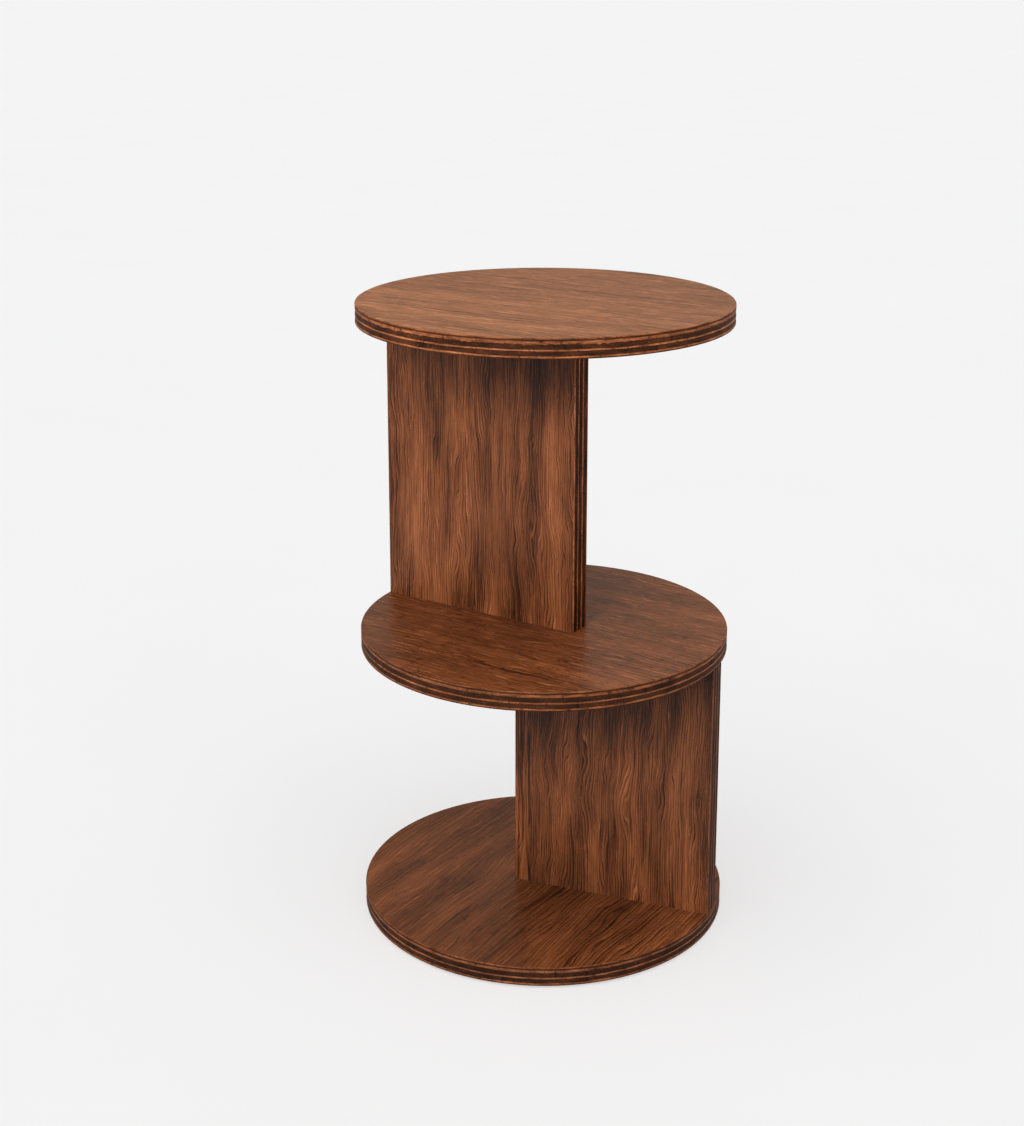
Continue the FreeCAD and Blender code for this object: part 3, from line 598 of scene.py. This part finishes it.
# ------------------------------------------------------------------ plywood edge
def ply_edge(name, plies, total, seed, vertical, gain=0.92, punch=1.0, rough=0.6, spec=0.08):
    g = Graph(name)
    tc = g.node("ShaderNodeTexCoord")
    mp = g.node("ShaderNodeMapping", {"Vector": tc.outputs["Object"]}, vector_type="POINT")
    mp.inputs["Scale"].default_value = (1000.0, 1000.0, 1000.0)
    mp.inputs["Location"].default_value = (seed * 71.0, seed * 37.0, seed * 13.0)
    x, y, z = g.xyz(mp.outputs[0])
    depth = g.node("ShaderNodeAttribute", attribute_name="ply", attribute_type="GEOMETRY").outputs["Fac"]
    if vertical:
        along = g.vec(g.mul(z, 1 / 22), g.mul(depth, 1.25), seed * 3.1)
        across = g.vec(g.mul(z, 1 / 1.1), g.mul(depth, 1 / 1.8), seed * 5.3)
        slow = g.vec(g.mul(z, 1 / 34), g.mul(depth, 1 / 7), seed * 2.3)
        stains = g.vec(g.mul(z, 1 / 9), g.mul(depth, 1 / 3.0), seed * 4.9)
        tick = g.mul(z, 1 / 80)
        tick2 = seed * 11.7
    else:
        along = g.vec(g.mul(x, 1 / 13), g.mul(y, 1 / 13), g.mul(depth, 1.25))
        across = g.vec(g.mul(x, 1 / 1.0), g.mul(y, 1 / 1.0), g.mul(depth, 1 / 1.8))
        slow = g.vec(g.mul(x, 1 / 24), g.mul(y, 1 / 24), g.mul(depth, 1 / 7))
        stains = g.vec(g.mul(x, 1 / 8), g.mul(y, 1 / 8), g.mul(depth, 1 / 3.0))
        tick = g.mul(x, 1 / 130)
        tick2 = g.mul(y, 1 / 130)
    n_slow = g.centred(slow, detail=2.0, dims="3D")
    n_along = g.centred(along, detail=3.0, rough=0.65, dims="3D")
    n_across = g.centred(across, detail=2.0, rough=0.6, dims="3D")
    n_stain = g.centred(stains, detail=2.0, rough=0.6, dims="3D")
    d = g.mad(n_slow, 0.50, g.mad(n_across, 0.34, depth))
    soft = 0.14
    stops, last = [(0.0, plies[0][1])], 0.0
    for k, (end, light, back) in enumerate(plies[:-1]):
        stops.append(((end - soft) / total, light))
        stops.append(((end + soft) / total, plies[k + 1][1]))
    light = g.ramp(g.mul(d, 1 / total), stops)
    light = g.node("ShaderNodeSeparateColor", {0: light}).outputs[0]
    # which ply this is, for joints between its strips of wood
    steps = [(0.0, 0.0)] + [(end / total, (k + 1) / len(plies)) for k, (end, a, b) in enumerate(plies[:-1])]
    ply_id = g.ramp(g.mul(depth, 1 / total), steps, "CONSTANT")
    ply_id = g.node("ShaderNodeSeparateColor", {0: ply_id}).outputs[0]
    cell = g.node("ShaderNodeTexVoronoi", {"Vector": g.vec(tick, tick2, g.mul(ply_id, 31.0))}, feature="DISTANCE_TO_EDGE",
                  voronoi_dimensions="3D")
    cell.inputs["Scale"].default_value = 1.0
    joint = g.step(cell.outputs["Distance"], 0.002, 0.008, 1.0, 0.0)
    fleck = g.step(g.noise(g.vec(g.mul(x, 1 / 2.2), g.mul(y, 1 / 2.2), g.mul(z, 1 / 0.9)), dims="3D"), 0.71, 0.78)
    stain = g.step(n_stain, 0.04, 0.20)
    tone = g.mad(light, 0.50, 0.17)
    tone = g.mad(n_along, g.mad(light, 0.50, 0.34), tone)
    tone = g.mad(n_across, g.mad(light, -0.10, 0.30), tone)
    tone = g.mad(n_slow, 0.46, tone)
    tone = g.mad(stain, g.mad(light, -0.34, 0.13), tone)
    tone = g.mad(joint, -0.16, tone)
    tone = g.mad(fleck, -0.26, tone)
    tone = g.m("MULTIPLY_ADD", tone, punch, 0.47 - 0.47 * punch, clamp=True)
    color = g.ramp(tone, [(0.0, (0.014 * gain, 0.0046 * gain, 0.0020 * gain)),
                          (0.22, (0.046 * gain, 0.0138 * gain, 0.0050 * gain)),
                          (0.45, (0.104 * gain, 0.0310 * gain, 0.0105 * gain)),
                          (0.70, (0.235 * gain, 0.0770 * gain, 0.0285 * gain)),
                          (1.0, (0.480 * gain, 0.1850 * gain, 0.0780 * gain))])
    height = g.mad(n_along, 0.5, g.mad(n_across, 0.5, g.mul(joint, -0.6)))
    normal = g.bump(height, 0.6, 0.0002)
    r = g.mad(light, -0.10, g.mad(n_across, 0.20, rough + 0.08))
    return g.finish(color, g.m("MULTIPLY", r, 1.0, clamp=True), normal, specular=spec)


# ------------------------------------------------------------------ bare wood inside bores and at hidden ends
def bare_wood(name, seed):
    g = Graph(name)
    tc = g.node("ShaderNodeTexCoord")
    mp = g.node("ShaderNodeMapping", {"Vector": tc.outputs["Object"]}, vector_type="POINT")
    mp.inputs["Scale"].default_value = (1000.0, 1000.0, 1000.0)
    mp.inputs["Location"].default_value = (seed * 31.0, 0.0, 0.0)
    x, y, z = g.xyz(mp.outputs[0])
    layers = g.centred(g.vec(g.mul(x, 1 / 30), g.mul(y, 1 / 3.4), g.mul(z, 1 / 30)), detail=2.0, dims="3D")
    cut = g.centred(g.vec(g.mul(x, 1 / 0.7), g.mul(y, 1 / 0.7), g.mul(z, 1 / 2.4)), detail=3.0, rough=0.7, dims="3D")
    tone = g.m("MULTIPLY", g.mad(layers, 0.9, g.mad(cut, 0.6, 0.5)), 1.0, clamp=True)
    color = g.ramp(tone, [(0.0, (0.16, 0.075, 0.036)), (0.5, (0.36, 0.20, 0.105)), (1.0, (0.56, 0.36, 0.21))])
    normal = g.bump(g.add(cut, layers), 0.7, 0.0003)
    return g.finish(color, g.mad(cut, 0.3, 0.72), normal, specular=0.25)


# ------------------------------------------------------------------ boards
raw = bare_wood("bare_wood", 1)
# one plywood for every edge, made lighter on the top disc and the upper panel and darker lower down: painted light and
# shade, lit and shaded copies of one edge
rim_top = ply_edge("ply_edge_top", DISC_PLIES, DISC_T, 1.0, False, gain=1.40, punch=1.25)
rim_mid = ply_edge("ply_edge_middle", DISC_PLIES, DISC_T, 2.0, False, gain=1.03, punch=1.15)
rim_low = ply_edge("ply_edge_base", DISC_PLIES, DISC_T, 3.0, False, gain=0.86, punch=1.25)
end_up = ply_edge("ply_edge_upper_panel", PANEL_PLIES, PANEL_T, 4.0, True, gain=1.50, punch=1.35, spec=0.04)
end_low = ply_edge("ply_edge_lower_panel", PANEL_PLIES, PANEL_T, 5.0, True)
# The veneers' gains and tints differ: partly the boards' own tone, partly painted light and shade. The top disc is made
# lighter and greyer where light and sheen fall on it, the lower boards darker where the boards above shade them, and
# fade paints the top disc and the base darker towards the back.
ven_top = veneer("veneer_top", 0.0, False, TOP_Z + 9.0, 1.0, spacing=4.6, figure=2.2, islands=0.7, sway=12.0, wave=2.4,
                 curl=1.4, contrast=1.05, bands=0.42, dashes=0.75, glints=0.95, patches=0.25, tint=(1.0, 1.19, 1.40),
                 fade=(0.228, 0.974, -150.0, 150.0, 0.025, -0.07), gain=1.12, rough=0.36, spec=0.21)
ven_mid = veneer("veneer_middle", 0.0, False, SHELF_Z + 9.0, 2.0, spacing=4.6, figure=2.8, islands=1.2, sway=14.0, wave=3.0,
                 curl=2.0, contrast=0.90, bands=0.45, dashes=1.25, glints=1.05, patches=0.45, hairs=0.30, gain=0.745, rough=0.32, spec=0.18)
ven_low = veneer("veneer_base", math.radians(90.0), False, BASE_Z + 9.0, 3.0, spacing=4.8, figure=2.4, islands=1.3, sway=14.0,
                 wave=2.6, curl=1.3, contrast=0.72, bands=0.62, dashes=0.55, glints=0.35, patches=0.34, hairs=0.45,
                 focus=(0.85, 0.53, -60.0, 70.0, 0.55, 1.75), fade=(-0.527, 0.85, 20.0, 160.0, 0.0, -0.11), gain=0.68, rough=0.34, spec=0.12)
# the panels' under settings paint the shadow of the disc above onto their upper part
ven_up = veneer("veneer_upper_panel", 0.0, True, 0.0, 4.0, spacing=2.3, figure=5.0, islands=3.2, wave=2.2, curl=0.9, ripple=0.55,
                eyes=1.0, strands=0.17, contrast=1.08, bands=1.0, glints=0.30, dashes=0.30, hairs=0.75, pale_lines=0.75,
                gain=0.82, under=(TOP_Z, 85.0, -95.0, 5.0, 0.17, 0.25, 0.0, 28.0))
ven_lo = veneer("veneer_lower_panel", TURN, True, -6.0, 5.0, spacing=2.3, figure=5.0, islands=3.9, wave=2.4, curl=0.9, ripple=0.55,
                eyes=0.9, strands=0.16, contrast=1.0, bands=0.9, edge=-22.5, glints=0.25, dashes=0.30, hairs=0.85,
                pale_lines=0.6, gain=0.70, under=(SHELF_Z, 110.0, 10.0, 95.0, 0.30, 0.26, 56.0, 0.0))

top = build_disc("top_disc_veneered", TOP_Z, None, UPPER, [ven_top, rim_top, raw], 1, True)
middle = build_disc("middle_disc_veneered", SHELF_Z, UPPER, LOWER, [ven_mid, rim_mid, raw], 2, False)
base = build_disc("base_disc_veneered", BASE_Z, LOWER, None, [ven_low, rim_low, raw], 3, False)
upper = build_panel("upper_panel_veneered", UPPER, SHELF_Z + DISC_T, TOP_Z, [ven_up, end_up, raw], 4)
lower = build_panel("lower_panel_veneered", LOWER, BASE_Z + DISC_T, SHELF_Z, [ven_lo, end_low, raw], 5)
for piece, node, slot in ((top, "top_disc", "disc_veneer"), (middle, "middle_disc", "disc_veneer"), (base, "base_disc", "disc_veneer"),
                          (upper, "upper_panel", "panel_veneer"), (lower, "lower_panel", "panel_veneer")):
    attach(piece, "root")
    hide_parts(node)


# ------------------------------------------------------------------ materials of the fittings
def speck_coords(g, seed):
    mp = g.node("ShaderNodeMapping", {"Vector": g.node("ShaderNodeTexCoord").outputs["Object"]}, vector_type="POINT")
    mp.inputs["Scale"].default_value = (1000.0, 1000.0, 1000.0)
    mp.inputs["Location"].default_value = (seed * 31.0, seed * 7.0, seed * 3.0)
    return mp.outputs[0]


def beech(name):
    """Raw beech with its short brown ray flecks, grain upright."""
    g = Graph(name)
    x, y, z = g.xyz(speck_coords(g, 2.0))
    rings = g.centred(g.vec(g.mul(x, 1 / 1.7), g.mul(y, 1 / 2.6), g.mul(z, 1 / 60)), detail=3.0, rough=0.6, dims="3D")
    fibre = g.centred(g.vec(g.mul(x, 1 / 0.3), g.mul(y, 1 / 0.3), g.mul(z, 1 / 6.0)), detail=2.0, rough=0.7, dims="3D")
    ray = g.step(g.noise(g.vec(g.mul(x, 1 / 0.5), g.mul(y, 1 / 0.5), g.mul(z, 1 / 2.2)), detail=1.0, dims="3D"), 0.66, 0.74)
    tone = g.mad(rings, 0.8, g.mad(fibre, 0.35, g.mad(ray, -0.30, 0.56)))
    tone = g.m("MULTIPLY", tone, 1.0, clamp=True)
    color = g.ramp(tone, [(0.0, (0.26, 0.135, 0.062)), (0.5, (0.50, 0.325, 0.185)), (1.0, (0.68, 0.50, 0.33))])
    normal = g.bump(g.mad(fibre, 0.7, g.mul(ray, -0.3)), 0.6, 0.00015)
    return g.finish(color, g.m("MULTIPLY", g.mad(fibre, 0.25, 0.68), 1.0, clamp=True), normal, specular=0.25)


def zinc(name, cast):
    """Zinc: plated steel with fine turning marks, or a tumbled die casting."""
    g = Graph(name)
    v = speck_coords(g, 5.0 if cast else 4.0)
    x, y, z = g.xyz(v)
    mottle = g.centred(g.vec(g.mul(x, 1 / 2.4), g.mul(y, 1 / 2.4), g.mul(z, 1 / 2.4)), detail=3.0, rough=0.6, dims="3D")
    grain = g.centred(g.vec(g.mul(x, 1 / 0.25), g.mul(y, 1 / 0.25), g.mul(z, 1 / (0.25 if cast else 0.06))), detail=2.0, rough=0.7, dims="3D")
    stain = g.step(g.noise(g.vec(g.mul(x, 1 / 5.0), g.mul(y, 1 / 5.0), g.mul(z, 1 / 5.0)), detail=2.0, dims="3D"), 0.52, 0.72)
    tone = g.m("MULTIPLY", g.mad(mottle, 0.8, g.mad(grain, 0.35, g.mad(stain, -0.16, 0.55))), 1.0, clamp=True)
    if cast:
        color = g.ramp(tone, [(0.0, (0.20, 0.20, 0.205)), (0.5, (0.36, 0.365, 0.375)), (1.0, (0.52, 0.525, 0.535))])
    else:
        color = g.ramp(tone, [(0.0, (0.27, 0.265, 0.25)), (0.5, (0.50, 0.505, 0.51)), (1.0, (0.66, 0.67, 0.69))])
    normal = g.bump(g.add(grain, g.mul(mottle, 0.6)), 0.7 if cast else 0.4, 0.00008)
    rough = g.m("MULTIPLY", g.mad(grain, 0.20, g.mad(stain, 0.16, 0.46 if cast else 0.30)), 1.0, clamp=True)
    return g.finish(color, rough, normal, metallic=1.0)


def moulded_plastic(name):
    """Dark brown moulded plastic, matched to the veneer, with a fine eroded texture."""
    g = Graph(name)
    x, y, z = g.xyz(speck_coords(g, 6.0))
    pebble = g.centred(g.vec(g.mul(x, 1 / 0.35), g.mul(y, 1 / 0.35), g.mul(z, 1 / 0.35)), detail=2.0, rough=0.55, dims="3D")
    flow = g.centred(g.vec(g.mul(x, 1 / 9.0), g.mul(y, 1 / 9.0), g.mul(z, 1 / 3.5)), detail=2.0, dims="3D")
    scuff = g.step(g.noise(g.vec(g.mul(x, 1 / 3.0), g.mul(y, 1 / 3.0), g.mul(z, 1 / 0.5)), detail=2.0, rough=0.7, dims="3D"), 0.64, 0.76)
    tone = g.m("MULTIPLY", g.mad(pebble, 0.35, g.mad(flow, 0.7, g.mad(scuff, 0.22, 0.45))), 1.0, clamp=True)
    color = g.ramp(tone, [(0.0, (0.030, 0.0120, 0.0058)), (0.5, (0.060, 0.0240, 0.0115)), (1.0, (0.105, 0.0470, 0.0245))])
    normal = g.bump(g.mad(pebble, 0.8, g.mul(scuff, 0.12)), 0.55, 0.00012)
    rough = g.m("MULTIPLY", g.mad(pebble, 0.18, g.mad(scuff, 0.12, 0.46)), 1.0, clamp=True)
    return g.finish(color, rough, normal, specular=0.4)


def needled_felt(name):
    """Dark felt: short matted fibres lying every way."""
    g = Graph(name)
    x, y, z = g.xyz(speck_coords(g, 7.0))
    warp_a = g.centred(g.vec(g.mul(x, 1 / 1.3), g.mul(y, 1 / 1.3), g.mul(z, 1 / 1.3)), detail=1.0, dims="3D")
    hair_a = g.centred(g.vec(g.mad(warp_a, 3.0, g.mul(x, 1 / 0.16)), g.mul(y, 1 / 1.1), g.mul(z, 1 / 0.4)), detail=2.0, rough=0.7, dims="3D")
    hair_b = g.centred(g.vec(g.mul(x, 1 / 1.2), g.mad(warp_a, -3.0, g.mul(y, 1 / 0.16)), g.mul(z, 1 / 0.3)), detail=2.0, rough=0.7, dims="3D")
    clump = g.centred(g.vec(g.mul(x, 1 / 2.6), g.mul(y, 1 / 2.6), g.mul(z, 1 / 2.6)), detail=3.0, rough=0.6, dims="3D")
    tone = g.m("MULTIPLY", g.mad(hair_a, 0.6, g.mad(hair_b, 0.6, g.mad(clump, 0.6, 0.48))), 1.0, clamp=True)
    color = g.ramp(tone, [(0.0, (0.0045, 0.0038, 0.0034)), (0.5, (0.0135, 0.0112, 0.0098)), (1.0, (0.060, 0.052, 0.047))])
    normal = g.bump(g.add(hair_a, g.mad(clump, 0.8, hair_b)), 0.9, 0.0004)
    rough = g.m("MULTIPLY", g.mad(hair_a, 0.10, 0.92), 1.0, clamp=True)
    return g.finish(color, rough, normal, specular=0.15, sheen=0.35)


# ------------------------------------------------------------------ fittings
def turned(mesh, place, profile, mat=0, segments=64, shape=None):
    """A closed turned solid. profile is (radius, height) from one end's centre to the other's;
    place(height, radial x, radial y) gives the point; shape may change a radius."""
    first = mesh.vert(place(profile[0][1], 0.0, 0.0))
    rings = []
    for r, h in profile[1:-1]:
        ring = []
        for i in range(segments):
            a = 2 * math.pi * i / segments
            rr = r if shape is None else shape(r, h, a)
            ring.append(mesh.vert(place(h, rr * math.cos(a), rr * math.sin(a))))
        rings.append(ring)
    last = mesh.vert(place(profile[-1][1], 0.0, 0.0))
    for i in range(segments):
        j = (i + 1) % segments
        mesh.face((first, rings[0][j], rings[0][i]), mat)
        mesh.face((last, rings[-1][i], rings[-1][j]), mat)
    for a, b in zip(rings[:-1], rings[1:]):
        mesh.strip(a, b, mat)


def upright_place(panel, s, contact, way):
    """Heights go from the joint's contact plane into the panel; way is 1 up or -1 down."""
    x0, y0 = panel_point(panel, s, panel["offset"])

    def place(h, a, b):
        return (x0 + a, y0 + way * b, contact + way * h)
    return place


def build_dowels(name, panel, contact, way, mat):
    """Fluted dowels, chamfered at both ends."""
    mesh = Mesh()
    profile = [(0.0, -10.0), (1.5, -10.0), (2.85, -10.0), (2.98, -9.96), (3.88, -9.06), (3.95, -8.9), (3.95, -3.0), (3.95, 5.0),
               (3.95, 13.0), (3.95, 18.9), (3.88, 19.06), (2.98, 19.96), (2.85, 20.0), (1.5, 20.0), (0.0, 20.0)]

    def flute(r, h, a):
        if r < 3.0:
            return r
        return r - 0.26 * (0.5 - 0.5 * math.cos(a * 18.0)) ** 1.6

    for s in panel["dowels"]:
        turned(mesh, upright_place(panel, s, contact, way), profile, segments=180, shape=flute)
    return mesh.build(name, [mat], sharp_deg=40.0)


def build_bolts(name, panel, contact, way, mat):
    """Cam bolts: a helical thread in the disc, a shank, a neck and a head in the panel."""
    mesh = Mesh()
    profile = [(0.0, -11.0), (0.6, -10.95), (1.2, -10.8), (1.9, -10.4)]
    h = -10.0
    while h < -0.1:
        profile.append((2.5, h))
        h += 0.1
    profile += [(2.5, 0.0), (2.62, 0.12), (2.8, 0.34), (2.8, 6.0), (2.8, 12.0), (2.8, 18.0), (2.8, 23.5), (2.68, 23.8), (2.2, 24.1),
                (2.02, 24.3), (2.0, 24.6), (2.0, 26.8), (2.0, 28.9), (2.12, 29.16), (2.35, 29.3), (3.1, 29.32), (3.4, 29.45), (3.5, 29.7),
                (3.5, 31.2), (3.42, 31.6), (3.15, 31.92), (2.7, 32.08), (2.2, 32.1), (1.95, 32.02), (1.5, 31.5), (0.7, 31.1), (0.0, 31.0)]

    def thread(r, h, a):
        if h < -10.3 or h > -0.15 or r != 2.5:
            return r
        phase = (h / 2.2 - a / (2 * math.pi)) % 1.0
        ridge = max(0.0, 1.0 - abs(phase - 0.5) / 0.27)
        fade = min(1.0, max(0.0, (h + 10.1) / 1.3)) * min(1.0, max(0.0, (-0.4 - h) / 1.0))
        return r + 0.88 * min(1.0, ridge * 1.12) * fade

    for s in panel["bolts"]:
        turned(mesh, upright_place(panel, s, contact, way), profile, segments=40, shape=thread)
    return mesh.build(name, [mat], sharp_deg=50.0)


def build_caps(name, panel, z_axis, mat):
    """Cover caps pressed over the cam locks, with a soft rim and a slightly hollow face."""
    mesh = Mesh()
    back = panel["offset"] + PANEL_T / 2
    profile = [(0.0, -2.8), (0.9, -2.8), (1.45, -2.72), (1.72, -2.45), (1.8, -2.1), (1.8, -0.9), (1.82, -0.25), (2.1, 0.0), (5.4, 0.0),
               (8.62, 0.0), (8.76, 0.05), (8.8, 0.18), (8.8, 0.52), (8.74, 0.80), (8.56, 1.06), (8.28, 1.26), (7.94, 1.37), (7.60, 1.40),
               (7.24, 1.395), (6.92, 1.36), (6.64, 1.30), (6.30, 1.255), (5.60, 1.235), (4.20, 1.215), (2.60, 1.205), (1.30, 1.20),
               (0.95, 1.19), (0.78, 1.13), (0.55, 1.10), (0.0, 1.095)]
    for s in panel["bolts"]:
        def place(h, a, b, s=s):
            x, y = panel_point(panel, s + a, back + h)
            return (x, y, z_axis + b)
        turned(mesh, place, profile, segments=96)
    return mesh.build(name, [mat], sharp_deg=50.0)


def build_felt(name, mat):
    """Four felt pads, slightly compressed and frayed at the edge."""
    mesh = Mesh()
    profile = [(0.0, 2.0), (4.0, 2.0), (8.0, 2.0), (11.75, 2.0), (12.1, 1.92), (12.32, 1.74), (12.44, 1.46), (12.5, 1.14), (12.48, 0.82),
               (12.36, 0.50), (12.14, 0.24), (11.85, 0.08), (11.5, 0.0), (10.6, 0.0), (9.5, 0.0), (8.0, 0.0), (6.5, 0.0), (5.0, 0.0),
               (3.5, 0.0), (2.0, 0.0), (0.0, 0.0)]
    for k in range(4):
        a0 = math.radians(45.0 + 90.0 * k)
        cx, cy = 148.0 * math.cos(a0), 148.0 * math.sin(a0)

        def place(h, a, b, cx=cx, cy=cy):
            lump = 0.0
            if h < 0.06 and math.hypot(a, b) < 11.0:
                lump = 0.10 * abs(wobble(cx + a, cy + b, 0.0, 9, 2.6)) + 0.05 * abs(wobble(cx + a, cy + b, 5.0, 10, 0.9))
            return (cx + a, cy + b, h + lump)

        def fray(r, h, a, k=k):
            if r < 11.4:
                return r
            return r - 0.09 * abs(wobble(12 * math.cos(a), 12 * math.sin(a), h * 3.0, 11 + k, 1.3)) - 0.10 * abs(wobble(12 * math.cos(a), 12 * math.sin(a), h, 15 + k, 7.0))
        turned(mesh, place, profile, segments=160, shape=fray)
    return mesh.build(name, [mat], sharp_deg=80.0)


m_beech = beech("beech_raw")
m_steel = zinc("zinc_plated_steel", False)
m_cast = zinc("zinc_casting", True)
m_plastic = moulded_plastic("brown_moulded_plastic")
m_felt = needled_felt("needled_felt")
for joint, panel, contact, way in (("base_joint", LOWER, BASE_Z + DISC_T, 1), ("under_shelf_joint", LOWER, SHELF_Z, -1),
                                   ("over_shelf_joint", UPPER, SHELF_Z + DISC_T, 1), ("top_joint", UPPER, TOP_Z, -1)):
    fittings = ((build_dowels(joint + "_fluted_dowels", panel, contact, way, m_beech), "_dowels", "beech"),
                (build_bolts(joint + "_threaded_bolts", panel, contact, way, m_steel), "_cam_bolts", "zinc_steel"),
                (build_caps(joint + "_moulded_caps", panel, contact + way * 34.0, m_plastic), "_cover_caps", "brown_plastic"))
    for piece, node, slot in fittings:
        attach(piece, "root")
        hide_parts(joint + node)
    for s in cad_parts[joint + "_cam_locks"].material_slots:
        s.material = m_cast
pads = build_felt("felt_pads_needled", m_felt)
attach(pads, "root")
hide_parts("felt_pads")


# ------------------------------------------------------------------ floor and light
def floor_material():
    g = Graph("pale_floor")
    tc = g.node("ShaderNodeTexCoord")
    x, y, z = g.xyz(tc.outputs["Object"])
    n = g.noise(g.vec(g.mul(x, 3.0), g.mul(y, 3.0)), detail=3.0)
    color = g.ramp(n, [(0.0, (0.865, 0.865, 0.867)), (1.0, (0.885, 0.885, 0.887))])
    return g.finish(color, g.mad(n, 0.05, 0.85), specular=0.0)


def build_floor():
    bm = bmesh.new()
    rings = [0.0, 0.3, 1.0, 4.0, 12.0, 40.0, 90.0]
    count = 96
    prev = None
    for r in rings[1:]:
        ring = [bm.verts.new((r * math.cos(2 * math.pi * i / count), r * math.sin(2 * math.pi * i / count), 0.0)) for i in range(count)]
        if prev is None:
            bm.faces.new(ring)
        else:
            for i in range(count):
                bm.faces.new((prev[i], ring[i], ring[(i + 1) % count], prev[(i + 1) % count]))
        prev = ring
    me = bpy.data.meshes.new("floor")
    bm.to_mesh(me)
    bm.free()
    me.materials.append(floor_material())
    obj = bpy.data.objects.new("floor", me)
    bpy.context.scene.collection.objects.link(obj)
    return obj


build_floor()

world = bpy.data.worlds.new("studio")
bpy.context.scene.world = world
world.use_nodes = True
wt = world.node_tree
wt.nodes.clear()
w_out = wt.nodes.new("ShaderNodeOutputWorld")
w_bg = wt.nodes.new("ShaderNodeBackground")
w_see = wt.nodes.new("ShaderNodeBackground")
w_mix = wt.nodes.new("ShaderNodeMixShader")
w_path = wt.nodes.new("ShaderNodeLightPath")
w_tc = wt.nodes.new("ShaderNodeTexCoord")
w_sep = wt.nodes.new("ShaderNodeSeparateXYZ")
w_ramp = wt.nodes.new("ShaderNodeValToRGB")
wt.links.new(w_tc.outputs["Generated"], w_sep.inputs[0])
wt.links.new(w_sep.outputs[2], w_ramp.inputs[0])
for pos, level in ((0.0, 0.26), (0.25, 0.30), (0.6, 0.36), (1.0, 0.42)):
    e = w_ramp.color_ramp.elements[0] if pos == 0.0 else (w_ramp.color_ramp.elements[-1] if pos == 1.0 else w_ramp.color_ramp.elements.new(pos))
    e.position = pos
    e.color = (level, level, level, 1.0)
w_warm = wt.nodes.new("ShaderNodeMix")         # what the polish mirrors is warmer than the light that falls on the table
w_warm.data_type = "RGBA"
w_warm.blend_type = "MULTIPLY"
wt.links.new(w_path.outputs["Is Glossy Ray"], w_warm.inputs[0])
wt.links.new(w_ramp.outputs[0], w_warm.inputs[6])
w_warm.inputs[7].default_value = (1.0, 0.82, 0.60, 1.0)
wt.links.new(w_warm.outputs[2], w_bg.inputs["Color"])
w_dim = wt.nodes.new("ShaderNodeMath")
w_dim.operation = "MULTIPLY_ADD"
wt.links.new(w_path.outputs["Is Diffuse Ray"], w_dim.inputs[0])
w_dim.inputs[1].default_value = -0.70
w_dim.inputs[2].default_value = 1.0
wt.links.new(w_dim.outputs[0], w_bg.inputs["Strength"])
w_see.inputs["Color"].default_value = (1.0, 1.0, 1.0, 1.0)
w_see.inputs["Strength"].default_value = 0.887
wt.links.new(w_path.outputs["Is Camera Ray"], w_mix.inputs[0])
wt.links.new(w_bg.outputs[0], w_mix.inputs[1])
wt.links.new(w_see.outputs[0], w_mix.inputs[2])
wt.links.new(w_mix.outputs[0], w_out.inputs[0])


def sun(name, azimuth, elevation, strength, angle, lit=None, color=(1.0, 1.0, 1.0)):
    """A distant soft light. Azimuth 0 is in front of the table, 90 to its +X side."""
    data = bpy.data.lights.new(name, "SUN")
    data.energy = strength
    data.angle = math.radians(angle)
    data.color = color
    obj = bpy.data.objects.new(name, data)
    bpy.context.scene.collection.objects.link(obj)
    a, e = math.radians(azimuth), math.radians(elevation)
    back = Vector((math.sin(a) * math.cos(e), -math.cos(a) * math.cos(e), math.sin(e)))
    obj.rotation_mode = "QUATERNION"
    obj.rotation_quaternion = (-back).to_track_quat("-Z", "Y")
    obj.location = back * 3.0
    if lit is not None:
        obj.light_linking.receiver_collection = lit
    return obj


def group(name, objects):
    coll = bpy.data.collections.new(name)
    for o in objects:
        coll.objects.link(o)
    return coll


floor = bpy.data.objects["floor"]
table_lit = group("lit_table", [o for o in bpy.data.objects if o.type == "MESH" and o != floor])
floor_lit = group("lit_floor", [floor])
sun("key", 4.0, 25.0, 2.3, 26.0, table_lit)
sun("overhead", 20.0, 76.0, 1.5, 46.0, table_lit)
sun("behind", 165.0, 34.0, 1.3, 60.0, table_lit, (1.0, 0.88, 0.74))
sun("dome", 0.0, 89.0, 0.80, 150.0, table_lit)
wash = sun("floor_wash", 20.0, 60.0, 3.08, 90.0, floor_lit)
wash.light_linking.blocker_collection = floor_lit
sun("floor_soft", 20.0, 66.0, 0.24, 140.0, floor_lit)

scene = bpy.context.scene
scene.view_settings.view_transform = "Standard"
scene.view_settings.look = "None"
scene.view_settings.exposure = 0.0
scene.view_settings.gamma = 1.0
